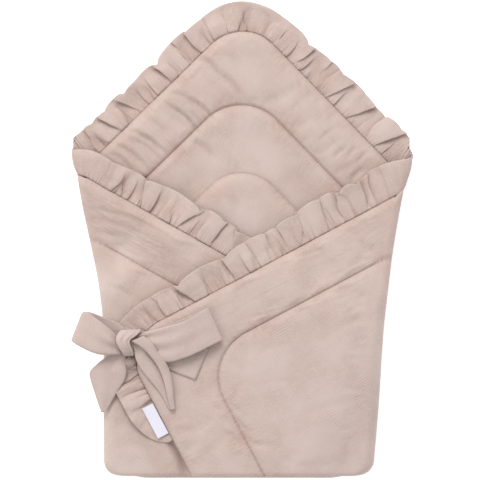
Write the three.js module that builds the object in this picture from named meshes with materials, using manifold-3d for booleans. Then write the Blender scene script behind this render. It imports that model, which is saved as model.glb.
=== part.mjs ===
// Padded swaddle wrap of crinkled muslin, folded as an envelope and tied with a bow. Millimetres, +Z up.
// It lies on its back, face up, with the head end towards +Y. The origin is on the floor under its middle.
// The cloth is a quilted square: its foot corner is folded up inside, then its left and its right corner
// are folded over the front. A gathered ruffle runs round the head edges and both side corners.
import * as THREE from "three";
import { mergeVertices } from "three/addons/utils/BufferGeometryUtils.js";
import Module from "manifold-3d";

const wasm = await Module();
wasm.setup();
const { clamp, lerp, smoothstep, degToRad } = THREE.MathUtils;

// Driving sizes
const EDGE_RADIUS = 58; // rounding of the square's corners
const QUILT_RADIUS = 66; // rounding of the quilt line's corners
const LOFT = { head: 12, foot: 10, left: 10.5, right: 11 }; // full thickness of each panel
const SEAM = 3.6; // thickness at the sewn edge
const STITCH = 4.8; // thickness along the quilt line
const PUFF = 28; // distance from stitching to full loft
const GAP = 0.8; // air between folded layers
const FLAP_FOOT = -313; // foot ends of the two flaps
const FOOT_FOLD = -316; // fold of the foot corner
const FOOT_ROUND = 20; // rounding in plan where side and foot folds meet
const LEG = 20; // how far a folded panel runs back into the back panel
const RUFFLE = { thickness: 1.6, clear: 0.5, step: 6.2, pleat: 33 };
const TIE = 2; // thickness of the doubled tie cloth, 46 wide where it lies open
const LABEL = { length: 45, width: 16, thickness: 1, top: 39.9 };

// The four corners of the square where they lie, each from its unrounded tip. Heading points in along the
// diagonal, and left and right are the quilt line's insets from the edges on either hand.
const CORNERS = {
  head: { x: 2, y: 303, heading: -90.75, left: 67, right: 67 },
  foot: { x: 0, y: 114, heading: -90, left: 85, right: 85 },
  left: { x: 176, y: -130, heading: 195.8, left: 85, right: 67 },
  right: { x: -160, y: -134, heading: -17.1, left: 67, right: 85 },
};

// Where the outline turns over at each side, down the length of the wrap
const SIDE_FOLDS = [
  { y: 100, left: -220, right: 224 },
  { y: 60, left: -213, right: 217 },
  { y: 0, left: -201, right: 204 },
  { y: -60, left: -190, right: 196 },
  { y: -120, left: -184, right: 189 },
  { y: -220, left: -183.5, right: 182.5 },
  { y: -320, left: -183, right: 174 },
];

// The ruffle from its end under the right flap's tip, round the head, to its end inside the left flap
const RUFFLE_RUN = [
  { along: 0, width: 38, wave: 0.7 },
  { along: 240, width: 36, wave: 1 },
  { along: 320, width: 38, wave: 3.4 },
  { along: 410, width: 42, wave: 3.4 },
  { along: 450, width: 43, wave: 3.2 },
  { along: 510, width: 42, wave: 3 },
  { along: 560, width: 36, wave: 0.7 },
  { along: 610, width: 40, wave: 1.2 },
  { along: 660, width: 40, wave: 3.4 },
  { along: 745, width: 40, wave: 3.4 },
  { along: 800, width: 35, wave: 2.8 },
  { along: 830, width: 35, wave: 2.8 },
  { along: 870, width: 38, wave: 2.8 },
  { along: 910, width: 36, wave: 3 },
  { along: 945, width: 39, wave: 3.4 },
  { along: 1000, width: 37, wave: 3.6 },
  { along: 1060, width: 37, wave: 3.6 },
  { along: 1110, width: 38, wave: 3.2 },
  { along: 1160, width: 32, wave: 0.7 },
  { along: 1210, width: 37, wave: 1.2 },
  { along: 1260, width: 40, wave: 3.2 },
  { along: 1330, width: 40, wave: 2.2 },
  { along: 1385, width: 38, wave: 0.4 },
  { along: 1540, width: 34, wave: 0.3 },
];

// The ties, each row a place along the cloth with its two edges. Crown is the rise of its middle.
// The left tie: its tail from the cut end up to the knot, under it, then out and back as the left loop
const LEFT_TIE = [
  { left: [-186, -227.5, 36.6], right: [-182, -227.7, 36.6], crown: 0 },
  { left: [-190.5, -214.5, 36.9], right: [-174.5, -217.5, 37.2], crown: 1 },
  { left: [-195.5, -199, 37.5], right: [-164.5, -200, 40.9], crown: 2 },
  { left: [-200, -184, 38.3], right: [-154.5, -184, 41.4], crown: 3 },
  { left: [-201, -174.5, 39], right: [-152.3, -173, 41.8], crown: 3 },
  { left: [-190.5, -163, 40.5], right: [-153.5, -161.5, 42], crown: 2 },
  { left: [-177, -152.5, 42], right: [-153, -152, 42.2], crown: 0.5 },
  { left: [-166.5, -143.5, 42.3], right: [-151.5, -141, 42.3], crown: 0 },
  { left: [-161.5, -137, 42.8], right: [-155, -116, 43], crown: 0 },
  { left: [-188, -146, 42.2], right: [-184, -101, 42.2], crown: -1 },
  { left: [-219, -136.5, 42.6], right: [-204, -94.5, 42.6], crown: 0 },
  { left: [-226, -134.5, 46], right: [-209, -92.5, 46], crown: 0 },
  { left: [-223, -135.5, 50.5], right: [-206, -94, 50.5], crown: 0 },
  { left: [-192, -149.5, 56], right: [-188.5, -105.5, 57], crown: 2.5 },
  { left: [-175, -151, 54.5], right: [-173, -118, 56], crown: 3 },
  { left: [-160, -150, 50.5], right: [-162, -129, 52], crown: 1.5 },
];

// The right tie's sewn root, from its square end up to the knot
const RIGHT_ROOT = [
  { left: [-61, -185, 47], right: [-43.5, -142.5, 47.1], crown: 0 },
  { left: [-93, -172, 47.3], right: [-82, -128.5, 47.3], crown: 0 },
  { left: [-124, -156, 47.2], right: [-119, -123, 47.2], crown: 0.5 },
  { left: [-142, -142, 48.5], right: [-139, -123, 48.5], crown: 0 },
];

// The right loop, out from the knot along its back and home over its front
const RIGHT_LOOP = [
  { left: [-141, -141, 50.4], right: [-141, -124, 50.4], crown: 0 },
  { left: [-122, -148, 49.8], right: [-124, -119, 49.8], crown: 0 },
  { left: [-84, -147, 49.9], right: [-76, -103.5, 49.9], crown: 0 },
  { left: [-33, -135, 50.2], right: [-50, -91, 50.2], crown: 0 },
  { left: [-25.5, -132, 53.4], right: [-44.7, -88.5, 53.4], crown: 0 },
  { left: [-29, -133.5, 56.8], right: [-47.5, -90, 56.8], crown: 0 },
  { left: [-74.5, -155, 59], right: [-74.5, -105.5, 60.5], crown: 1 },
  { left: [-101, -160.5, 57.5], right: [-103, -114.5, 59.5], crown: 2.5 },
  { left: [-120, -151, 56], right: [-121, -119.5, 57.5], crown: 3.5 },
  { left: [-139, -142, 54], right: [-139, -126, 54], crown: 1 },
];

// The band of the knot, from behind its top over its front and under its foot
const KNOT_BAND = [
  { left: [-155, -120, 46], right: [-139, -121, 46], crown: 0 },
  { left: [-156.5, -116.8, 51], right: [-137.5, -118.5, 51], crown: 1 },
  { left: [-159.5, -120, 57.5], right: [-138.5, -121.5, 57.5], crown: 1.5 },
  { left: [-163, -129.5, 60.5], right: [-146.5, -132, 60.5], crown: 2 },
  { left: [-157.5, -141, 58.5], right: [-145.5, -143, 58.5], crown: 2 },
  { left: [-150.5, -149.5, 52], right: [-144, -150, 52], crown: 1 },
  { left: [-151, -147, 46.5], right: [-145, -147, 46.5], crown: 0 },
];
const KNOT_CORE = { centre: [-149, -132.5, 52], radii: [14, 15.5, 7.6] };

// The twisted front tail: a panel, and the edge folded back over it from the right
const TAIL_PANEL = [
  { left: [-146, -134, 55], right: [-131, -129, 55], crown: 1 },
  { left: [-142.3, -145, 53.5], right: [-121, -137.5, 53], crown: 1.5 },
  { left: [-139.5, -158, 51], right: [-113.5, -149, 50.8], crown: 2 },
  { left: [-131.3, -172.5, 48.8], right: [-103, -162.5, 49.2], crown: 2 },
  { left: [-119.3, -187.5, 48.2], right: [-96.5, -178, 48.5], crown: 1.5 },
  { left: [-107.3, -202.5, 47.8], right: [-93.5, -194, 48], crown: 1 },
  { left: [-99.5, -216, 47.6], right: [-92, -211, 47.7], crown: 0.5 },
  { left: [-95.4, -224.5, 47.6], right: [-90.3, -223.5, 47.6], crown: 0 },
];
const TAIL_EDGE = [
  { left: [-141, -133, 60.3], right: [-130, -128.6, 60.3], crown: 1 },
  { left: [-131.5, -140, 59.5], right: [-120.5, -137, 59], crown: 1 },
  { left: [-121, -152.5, 56.8], right: [-113, -149, 56.5], crown: 1.2 },
  { left: [-111, -166, 54.8], right: [-102.5, -162.5, 54.6], crown: 1.2 },
  { left: [-104, -181.5, 53.6], right: [-96, -178, 53.4], crown: 1 },
  { left: [-100.3, -197, 52.6], right: [-93, -194, 52.4], crown: 0.8 },
  { left: [-96.5, -213, 51.8], right: [-91.5, -211, 51.7], crown: 0.5 },
  { left: [-93.5, -224, 51.3], right: [-90, -223.5, 51.3], crown: 0 },
];

// A value on the smooth curve through one column of a table
function readTable(rows, key, column, at) {
  const last = rows.length - 1;
  const row = (i) => rows[clamp(i, 0, last)];
  const way = Math.sign(rows[last][key] - rows[0][key]);
  let i = 0;
  while (i < last - 1 && (at - row(i + 1)[key]) * way > 0) i += 1;
  const span = row(i + 1)[key] - row(i)[key];
  const t = clamp((at - row(i)[key]) / span, 0, 1);
  const slope = (j) => (row(j + 1)[column] - row(j - 1)[column]) / (row(j + 1)[key] - row(j - 1)[key]);
  const start = (1 + 2 * t) * (1 - t) ** 2 * row(i)[column] + t * (1 - t) ** 2 * span * slope(i);
  const end = t * t * (3 - 2 * t) * row(i + 1)[column] + t * t * (t - 1) * span * slope(i + 1);
  return start + end;
}

// The place between two values where a test changes from inside, above 0, to outside
function findEdge(test, inside, outside) {
  let [a, b] = [inside, outside];
  for (let i = 0; i < 40; i += 1) {
    const middle = (a + b) / 2;
    if (test(middle) > 0) a = middle;
    else b = middle;
  }
  return a;
}

// A closed sheet between two grids of points, with a rim along its four sides
function closedSheet(top, under) {
  const rows = top.length;
  const columns = top[0].length;
  const points = [...top.flat(), ...under.flat()];
  const at = (side, i, j) => (side * rows + i) * columns + j;
  const index = [];
  const quad = (a, b, c, d) => index.push(a, b, c, a, c, d);
  for (let i = 0; i < rows - 1; i += 1) {
    for (let j = 0; j < columns - 1; j += 1) {
      quad(at(0, i, j), at(0, i + 1, j), at(0, i + 1, j + 1), at(0, i, j + 1));
      quad(at(1, i, j), at(1, i, j + 1), at(1, i + 1, j + 1), at(1, i + 1, j));
    }
    quad(at(0, i + 1, 0), at(0, i, 0), at(1, i, 0), at(1, i + 1, 0));
    const c = columns - 1;
    quad(at(0, i, c), at(0, i + 1, c), at(1, i + 1, c), at(1, i, c));
  }
  for (let j = 0; j < columns - 1; j += 1) {
    quad(at(0, 0, j), at(0, 0, j + 1), at(1, 0, j + 1), at(1, 0, j));
    const r = rows - 1;
    quad(at(0, r, j + 1), at(0, r, j), at(1, r, j), at(1, r, j + 1));
  }
  const triangle = (k) => [0, 1, 2].map((n) => points[index[k + n]]);
  let volume = 0;
  for (let k = 0; k < index.length; k += 3) {
    const [a, b, c] = triangle(k);
    volume += a.dot(b.clone().cross(c));
  }
  if (volume < 0) index.reverse();
  return new wasm.Manifold(
    new wasm.Mesh({
      numProp: 3,
      vertProperties: new Float32Array(points.flatMap((p) => [p.x, p.y, p.z])),
      triVerts: new Uint32Array(index),
    }),
  );
}

// A sheet of even thickness about one grid of points
function evenSheet(middle, thickness) {
  const across = (i, j) => {
    const row = (n) => middle[clamp(n, 0, middle.length - 1)];
    const down = row(i + 1)[j].clone().sub(row(i - 1)[j]);
    const last = middle[0].length - 1;
    const along = middle[i][clamp(j + 1, 0, last)].clone().sub(middle[i][clamp(j - 1, 0, last)]);
    return down.cross(along).setLength(thickness / 2);
  };
  const shift = (sign) => middle.map((row, i) => row.map((p, j) => p.clone().addScaledVector(across(i, j), sign)));
  return closedSheet(shift(1), shift(-1));
}

// A point's distances from the edges on the left and right hand of a corner
function insets(corner, x, y) {
  const heading = degToRad(corner.heading);
  const [dx, dy] = [x - corner.x, y - corner.y];
  const along = dx * Math.cos(heading) + dy * Math.sin(heading);
  const side = dy * Math.cos(heading) - dx * Math.sin(heading);
  return [(along - side) / Math.SQRT2, (along + side) / Math.SQRT2];
}

// The point at given distances from a corner's two edges
function cornerPoint(corner, fromLeft, fromRight) {
  const heading = degToRad(corner.heading);
  const along = (fromLeft + fromRight) / Math.SQRT2;
  const side = (fromRight - fromLeft) / Math.SQRT2;
  const x = corner.x + along * Math.cos(heading) - side * Math.sin(heading);
  const y = corner.y + along * Math.sin(heading) + side * Math.cos(heading);
  return new THREE.Vector2(x, y);
}

// Distance inside a rounded square corner, below 0 outside it
function roundedInset(a, b, radius) {
  if (a < radius && b < radius) return radius - Math.hypot(radius - a, radius - b);
  return Math.min(a, b);
}

const insideEdge = (corner, x, y) => roundedInset(...insets(corner, x, y), EDGE_RADIUS);

function insideQuilt(corner, x, y) {
  const [a, b] = insets(corner, x, y);
  return roundedInset(a - corner.left, b - corner.right, QUILT_RADIUS);
}

// Thickness of a padded panel: thin at its sewn edge and quilt line, full between them
function loft(name, x, y) {
  const corner = CORNERS[name];
  const rise = (d) => Math.sin((Math.PI / 2) * clamp(d / PUFF, 0, 1)) ** 0.8;
  const fromEdge = SEAM + (LOFT[name] - SEAM) * rise(insideEdge(corner, x, y));
  const fromQuilt = STITCH + (LOFT[name] - STITCH) * rise(Math.abs(insideQuilt(corner, x, y)));
  return Math.min(fromEdge, fromQuilt);
}

// Height of the underside of each panel over the layers that it lies on
const FLOOR_OF = {
  head: () => 0,
  foot: () => LOFT.head + GAP,
  left: (x, y) => {
    const overFoot = smoothstep(insideEdge(CORNERS.foot, x, y), -32, 15);
    return LOFT.head + GAP + (LOFT.foot + GAP) * overFoot;
  },
  right: (x, y) => {
    const overLeft = smoothstep(insideEdge(CORNERS.left, x, y), -70, 12);
    return FLOOR_OF.left(x, y) + (LOFT.left + GAP) * overLeft;
  },
};

// The side fold of a flap at one height: where its turn begins and how deep and tall it is
function sideFold(name, y) {
  const side = name === "right" ? 1 : -1;
  const fromFoot = clamp(y - FLAP_FOOT, 0, FOOT_ROUND);
  const rounding = FOOT_ROUND - Math.sqrt(FOOT_ROUND ** 2 - (FOOT_ROUND - fromFoot) ** 2);
  const outer = readTable(SIDE_FOLDS, "y", name, y) - side * rounding;
  const height = FLOOR_OF[name](outer, y) + loft(name, outer, y);
  return { side, outer, depth: height / 2, start: outer - (side * height) / 2 };
}

// A line round a corner at given insets, from its right-hand edge to its left-hand one
function edgeLine(corner, fromLeft, fromRight, radius, endA, endB) {
  const a = insets(corner, ...endA)[0] - fromLeft - radius;
  const b = insets(corner, ...endB)[1] - fromRight - radius;
  const turn = (radius * Math.PI) / 2;
  const total = a + turn + b;
  return (v) => {
    const run = v * total;
    if (run < a) return cornerPoint(corner, fromLeft + radius + a - run, fromRight);
    if (run > a + turn) return cornerPoint(corner, fromLeft, fromRight + radius + run - a - turn);
    const angle = (run - a) / radius;
    return cornerPoint(
      corner,
      fromLeft + radius * (1 - Math.sin(angle)),
      fromRight + radius * (1 - Math.cos(angle)),
    );
  };
}

// A panel that lies between the two side folds: a grid from its edge past its quilt line to its foot
function cornerGrid(name, margin, foot) {
  const corner = CORNERS[name];
  const sideX = (flap, y) => {
    const fold = sideFold(flap, y);
    return fold.start - fold.side * margin;
  };
  const meets = (flap, test) => {
    const y = findEdge((h) => test(corner, sideX(flap, h), h), foot, 200);
    return [sideX(flap, y), y];
  };
  const ends = (test) => [meets("left", test), meets("right", test)];
  const [edgeLeft, edgeRight] = ends(insideEdge);
  const [quiltLeft, quiltRight] = ends(insideQuilt);
  const edge = edgeLine(corner, 0, 0, EDGE_RADIUS, edgeLeft, edgeRight);
  const quilt = edgeLine(corner, corner.left, corner.right, QUILT_RADIUS, quiltLeft, quiltRight);
  const footLine = (v) => new THREE.Vector2(lerp(sideX("left", foot), sideX("right", foot), v), foot);
  const patch = (from, to, yLeft, yRight) => (v, w) => {
    const middle = from(v).lerp(to(v), w);
    const bend = (flap, ys, end) => {
      const y = lerp(ys[0], ys[1], w);
      return sideX(flap, y) - lerp(from(end).x, to(end).x, w);
    };
    middle.x += (1 - v) * bend("left", yLeft, 0) + v * bend("right", yRight, 1);
    return middle;
  };
  const band = patch(edge, quilt, [edgeLeft[1], quiltLeft[1]], [edgeRight[1], quiltRight[1]]);
  const field = patch(quilt, footLine, [quiltLeft[1], foot], [quiltRight[1], foot]);
  return { band, field };
}

const BAND_STEPS = [0, 0.06, 0.2, 0.42, 0.72, 0.92];
const FIELD_STEPS = [0, 0.04, 0.12, 0.35, 0.7, 1];

// Lists a panel's points in plan, one line for each place round its edge
function cornerLines(name, margin, foot, count) {
  const { band, field } = cornerGrid(name, margin, foot);
  return Array.from({ length: count + 1 }, (_, i) => {
    const v = i / count;
    return [...BAND_STEPS.map((w) => band(v, w)), ...FIELD_STEPS.map((w) => field(v, w))];
  });
}

// The back panel, flat on the floor
function backPanel() {
  const lines = cornerLines("head", 0.5, FOOT_FOLD + (LOFT.head + GAP + LOFT.foot) / 2 + 0.5, 30);
  const height = (p, z) => new THREE.Vector3(p.x, p.y, z);
  return closedSheet(
    lines.map((line) => line.map((p) => height(p, loft("head", p.x, p.y)))),
    lines.map((line) => line.map((p) => height(p, 0))),
  );
}

// One section of a folded panel: out along its lines in plan, round the fold, and back along the floor.
// The lower leg lies inside the back panel, which makes the two one cloth.
function foldedSection(name, line, out, depth, pinch) {
  const start = line.at(-1);
  const outer = line.map((p) => new THREE.Vector3(p.x, p.y, FLOOR_OF[name](p.x, p.y) + loft(name, p.x, p.y)));
  const inner = line.map((p) => new THREE.Vector3(p.x, p.y, FLOOR_OF[name](p.x, p.y)));
  const back = loft("head", start.x, start.y);
  const legTop = back - 0.4;
  const [top, under] = [outer.at(-1).z, inner.at(-1).z];
  const place = (reach, z) => new THREE.Vector3(start.x + out.x * reach, start.y + out.y * reach, z);
  const turns = 6;
  for (let i = 1; i <= turns; i += 1) {
    const angle = Math.PI / 2 - (Math.PI * i) / turns;
    const thickness = lerp(top - under, legTop, i / turns);
    const rise = Math.sin(angle);
    outer.push(place(depth * Math.cos(angle), (top / 2) * (1 + rise)));
    inner.push(place((depth - thickness) * Math.cos(angle), lerp(legTop, under, (1 + rise) / 2)));
  }
  outer.push(place(-LEG, 0));
  inner.push(place(-LEG, legTop));
  outer.forEach((p, i) => {
    const middle = p.clone().add(inner[i]).multiplyScalar(0.5);
    p.lerp(middle, 1 - pinch);
    inner[i].lerp(middle, 1 - pinch);
  });
  return [outer, inner];
}

function foldedPanel(sections) {
  return closedSheet(
    sections.map((section) => section[0]),
    sections.map((section) => section[1]),
  );
}

// The foot corner, folded up over the back panel
function footPanel() {
  const depth = (LOFT.head + GAP + LOFT.foot) / 2;
  const lines = cornerLines("foot", 4, FOOT_FOLD + depth, 18);
  const out = new THREE.Vector2(0, -1);
  return foldedPanel(lines.map((line) => foldedSection("foot", line, out, depth, 1)));
}

// A side corner folded over the front, in rows across the wrap from its fold's start to its foot
function flap(name) {
  const corner = CORNERS[name];
  const seamMeets = findEdge((y) => insideEdge(corner, sideFold(name, y).start, y), -100, 120);
  const rows = [];
  const spacing = 17;
  const long = seamMeets - 1.5 - (FLAP_FOOT + 8);
  const count = Math.round(long / spacing);
  for (let i = 0; i <= count; i += 1) rows.push(seamMeets - 1.5 - (long * i) / count);
  rows.push(FLAP_FOOT + 4.5, FLAP_FOOT + 2, FLAP_FOOT + 0.6, FLAP_FOOT);
  const sections = rows.map((y) => {
    const { side, start, depth } = sideFold(name, y);
    const far = start - side * 500;
    const tip = findEdge((x) => insideEdge(corner, x, y), start, far);
    const crossing = findEdge((x) => insideQuilt(corner, x, y), start, far);
    const room = Math.min(8, Math.abs(start - tip) / 2);
    const quilt = side * Math.min(side * crossing, side * start - room);
    const band = BAND_STEPS.map((w) => new THREE.Vector2(lerp(tip, quilt, w), y));
    const field = FIELD_STEPS.map((w) => new THREE.Vector2(lerp(quilt, start, w), y));
    const fromEnd = clamp((y - FLAP_FOOT) / 5.5, 0, 1);
    const pinch = Math.max(0.2, Math.sqrt(1 - (1 - fromEnd) ** 2));
    return foldedSection(name, [...band, ...field], new THREE.Vector2(side, 0), depth, pinch);
  });
  return foldedPanel(sections);
}

// The whole padded square as one folded cloth
const wrapSolid = () => backPanel().add(footPanel()).add(flap("left")).add(flap("right"));

// The ruffle's seam in order: round the right flap, over its fold, round the head and into the left flap.
// Each stop has the seam's place, the way out from it, the cloth's face and the height it rests on.
function ruffleSeam() {
  const stops = [];
  const push = (x, y, z, out, face, floor) =>
    stops.push({ seam: new THREE.Vector3(x, y, z), out, face: face.clone(), floor });
  const up = new THREE.Vector3(0, 0, 1);
  const down = new THREE.Vector3(0, 0, -1);
  const alongEdge = (name, line, face, count, from, to) => {
    for (let i = 0; i <= count; i += 1) {
      const v = lerp(from, to, i / count);
      const here = line(v);
      const way = line(Math.min(1, v + 0.002)).sub(line(Math.max(0, v - 0.002))).normalize();
      const out = Math.atan2(way.x, -way.y);
      const z = FLOOR_OF[name](here.x, here.y) + SEAM / 2;
      push(here.x, here.y, z, out, face, FLOOR_OF[name]);
    }
  };
  const roundFold = (name, from, to) => {
    const startY = stops.at(-1).seam.y;
    for (let i = 1; i < 8; i += 1) {
      const y = lerp(startY, foldEnds[name], i / 8);
      const { side, start, depth } = sideFold(name, y);
      const high = FLOOR_OF[name](start, y) + SEAM / 2;
      const angle = lerp(from, to, i / 8);
      const x = start + side * (depth - SEAM / 2) * Math.cos(angle);
      const z = lerp(SEAM / 2, high, (1 + Math.sin(angle)) / 2);
      const face = new THREE.Vector3(side * Math.cos(angle), 0, Math.sin(angle));
      push(x, y, z, Math.PI / 2, face, null);
    }
  };
  const meets = (corner, name) => {
    const y = findEdge((h) => insideEdge(corner, sideFold(name, h).start, h), -100, 150);
    return [sideFold(name, y).start, y];
  };
  const endUnderTip = cornerPoint(CORNERS.right, 148, 0).toArray();
  const endInside = cornerPoint(CORNERS.left, 0, 70).toArray();
  const [rightTop, leftTop] = [meets(CORNERS.right, "right"), meets(CORNERS.left, "left")];
  const [headRight, headLeft] = [meets(CORNERS.head, "right"), meets(CORNERS.head, "left")];
  const foldEnds = { right: headRight[1], left: leftTop[1] };
  const rightLine = edgeLine(CORNERS.right, 0, 0, EDGE_RADIUS, endUnderTip, rightTop);
  const headLine = edgeLine(CORNERS.head, 0, 0, EDGE_RADIUS, headLeft, headRight);
  const leftLine = edgeLine(CORNERS.left, 0, 0, EDGE_RADIUS, leftTop, endInside);
  alongEdge("right", rightLine, up, 140, 0, 1);
  roundFold("right", Math.PI / 2, -Math.PI / 2);
  alongEdge("head", headLine, down, 160, 1, 0);
  roundFold("left", -Math.PI / 2, Math.PI / 2);
  alongEdge("left", leftLine, up, 100, 0, 0.77);
  return stops;
}

function ruffleSolid() {
  const stops = ruffleSeam();
  const runs = [0];
  for (let i = 1; i < stops.length; i += 1)
    runs.push(runs[i - 1] + stops[i].seam.distanceTo(stops[i - 1].seam));
  const total = runs.at(-1);
  const count = Math.round(total / RUFFLE.step);
  const smooth = 26;
  const at = (along) => {
    let i = 0;
    while (i < runs.length - 2 && runs[i + 1] < along) i += 1;
    const t = clamp((along - runs[i]) / (runs[i + 1] - runs[i]), 0, 1);
    return { i, t, a: stops[i], b: stops[i + 1] };
  };
  const outAt = (along) => {
    let [x, y] = [0, 0];
    for (let k = -4; k <= 4; k += 1) {
      const { a } = at(clamp(along + (k * smooth) / 4, 0, total));
      x += Math.cos(a.out);
      y += Math.sin(a.out);
    }
    return new THREE.Vector3(x, y, 0).normalize();
  };
  const across = [0, 0.34, 0.7, 1];
  let phase = 0;
  const middle = [];
  const faces = [];
  for (let n = 0; n <= count; n += 1) {
    const along = (total * n) / count;
    const { t, a, b } = at(along);
    const seam = a.seam.clone().lerp(b.seam, t);
    const face = a.face.clone().lerp(b.face, t).normalize();
    const out = outAt(along);
    const square = new THREE.Vector3(Math.cos(a.out), Math.sin(a.out), 0);
    const taper = (d) => Math.sqrt(1 - (1 - clamp(d / 62, 0.02, 1)) ** 2);
    const width = readTable(RUFFLE_RUN, "along", "width", along) * taper(along) * taper(total - along);
    const wave = Math.max(0, readTable(RUFFLE_RUN, "along", "wave", along));
    const pleat = RUFFLE.pleat * (1 + 0.28 * Math.sin(along / 41) + 0.12 * Math.sin(along / 17));
    phase += (2 * Math.PI * (total / count)) / pleat;
    const uneven = 1 + 0.05 * Math.sin(phase * 0.5 + 1) * Math.min(1, wave);
    const floor = a.floor ?? b.floor;
    middle.push(
      across.map((v) => {
        const p = seam.clone().addScaledVector(square, RUFFLE.clear).addScaledVector(out, v * width * uneven);
        const lift = Math.sin(phase) * wave * v ** 0.7;
        const rest = floor ? floor(p.x, p.y) + wave + RUFFLE.thickness / 2 + 0.3 : seam.z;
        if (a.floor && b.floor) p.z = lerp(seam.z, rest, v);
        return p.addScaledVector(face, lift);
      }),
    );
    faces.push(face);
  }
  const shift = (sign) =>
    middle.map((row, i) => row.map((p) => p.clone().addScaledVector(faces[i], (sign * RUFFLE.thickness) / 2)));
  return closedSheet(shift(1), shift(-1));
}

// A grid over the rows of a tie, smooth along it, with its crown across
function tieGrid(rows, steps, columns) {
  const edge = (side) => new THREE.CatmullRomCurve3(rows.map((row) => new THREE.Vector3(...row[side])));
  const [left, right] = [edge("left"), edge("right")];
  const numbered = rows.map((row, i) => ({ at: i, crown: row.crown }));
  const count = (rows.length - 1) * steps;
  return Array.from({ length: count + 1 }, (_, i) => {
    const t = i / count;
    const crown = readTable(numbered, "at", "crown", t * (rows.length - 1));
    return Array.from({ length: columns + 1 }, (_, j) => {
      const u = j / columns;
      const p = left.getPoint(t).lerp(right.getPoint(t), u);
      p.z += crown * 4 * u * (1 - u);
      return p;
    });
  });
}

function knotCore(grow) {
  const shape = new THREE.SphereGeometry(1, 18, 10);
  shape.deleteAttribute("normal");
  shape.deleteAttribute("uv");
  shape.scale(...KNOT_CORE.radii.map((r) => r + grow));
  shape.translate(...KNOT_CORE.centre);
  const merged = mergeVertices(shape, 1e-3);
  return new wasm.Manifold(
    new wasm.Mesh({
      numProp: 3,
      vertProperties: merged.attributes.position.array,
      triVerts: new Uint32Array(merged.index.array),
    }),
  );
}

const knot = (grow) => evenSheet(tieGrid(KNOT_BAND, 2, 4), TIE + 2 * grow).add(knotCore(grow));

// The front tail's two faces joined by the fold down its right side
function twistedTail() {
  const panel = tieGrid(TAIL_PANEL, 2, 3);
  const edge = tieGrid(TAIL_EDGE, 2, 2);
  const middle = panel.map((row, i) => {
    const back = [...edge[i]].reverse();
    const fold = row.at(-1).clone().lerp(back[0], 0.5);
    const out = row.at(-1).clone().sub(row[0]).setZ(0).setLength(1.6);
    return [...row, fold.add(out), ...back];
  });
  return evenSheet(middle, TIE);
}

function rightTieSolid() {
  const root = evenSheet(tieGrid(RIGHT_ROOT, 2, 3), TIE);
  const loop = evenSheet(tieGrid(RIGHT_LOOP, 2, 4), TIE);
  return knot(0).add(root).add(loop).add(twistedTail());
}

const leftTieSolid = () => evenSheet(tieGrid(LEFT_TIE, 2, 4), TIE).subtract(knot(0.4));

// The blank label lies on the ruffle's end, its long side at the right flap's lower edge
function labelSolid() {
  const near = 92;
  const corner = (fromTip, out) => cornerPoint(CORNERS.right, fromTip, -out);
  const grid = (z) =>
    [0, 1].map((i) =>
      [0, 1].map((j) => {
        const p = corner(near + i * LABEL.length, 0.6 + j * LABEL.width);
        return new THREE.Vector3(p.x, p.y, z);
      }),
    );
  return closedSheet(grid(LABEL.top), grid(LABEL.top - LABEL.thickness));
}

// A mesh of one solid in its own colour
function piece(name, solid, material) {
  const made = solid.getMesh();
  const geometry = new THREE.BufferGeometry();
  geometry.setAttribute("position", new THREE.BufferAttribute(new Float32Array(made.vertProperties), 3));
  geometry.setIndex(new THREE.BufferAttribute(new Uint32Array(made.triVerts), 1));
  geometry.computeVertexNormals();
  const mesh = new THREE.Mesh(geometry, material);
  mesh.name = name;
  return mesh;
}

const muslin = new THREE.MeshStandardMaterial({ color: 0xd0bab1, roughness: 0.95, metalness: 0 });
const labelCloth = new THREE.MeshStandardMaterial({ color: 0xefecf2, roughness: 0.8, metalness: 0 });

const swaddle = new THREE.Group();
swaddle.add(piece("wrap", wrapSolid(), muslin));
swaddle.add(piece("ruffle", ruffleSolid(), muslin.clone()));
swaddle.add(piece("tie_left", leftTieSolid(), muslin.clone()));
swaddle.add(piece("tie_right", rightTieSolid(), muslin.clone()));
swaddle.add(piece("label", labelSolid(), labelCloth));
export default swaddle;
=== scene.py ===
"""Padded muslin swaddle wrap, folded as an envelope and tied with a bow. Sizes are millimetres."""
import functools
import math

import bpy
import mathutils
import numpy as np
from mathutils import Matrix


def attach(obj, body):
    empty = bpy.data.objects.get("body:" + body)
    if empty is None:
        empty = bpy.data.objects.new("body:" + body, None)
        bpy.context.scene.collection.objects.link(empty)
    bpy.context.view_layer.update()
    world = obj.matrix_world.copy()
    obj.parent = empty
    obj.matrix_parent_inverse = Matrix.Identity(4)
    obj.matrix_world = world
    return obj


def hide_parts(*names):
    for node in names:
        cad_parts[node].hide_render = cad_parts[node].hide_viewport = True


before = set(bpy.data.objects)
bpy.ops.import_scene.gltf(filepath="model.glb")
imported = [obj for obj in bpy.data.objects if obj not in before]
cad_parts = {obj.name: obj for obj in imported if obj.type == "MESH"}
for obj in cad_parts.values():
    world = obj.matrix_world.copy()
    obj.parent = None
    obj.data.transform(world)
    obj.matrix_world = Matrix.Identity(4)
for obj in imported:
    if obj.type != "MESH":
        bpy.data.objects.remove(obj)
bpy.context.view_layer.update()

# Padded square: two faces of crinkled double muslin over light wadding, sewn together round the edge
# and quilted along one rounded square line. Its foot corner is folded up inside, then its left and its
# right corner are folded over the front. It is cut about 750 by 750 and each panel is 10 to 12 thick.
EDGE_ROUNDING = 58
QUILT_ROUNDING = 66
LOFT = {"head": 12, "foot": 10, "left": 10.5, "right": 11}
SEAM = 3.6
STITCH = 6.4
EDGE_ROLL = 11
QUILT_ROLL = 10
LAYER_GAP = 0.8
FLAP_FOOT = -313
FOOT_FOLD = -316
FOOT_ROUNDING = 20
LEG = 20
RUFFLE_REACH = 38

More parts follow.
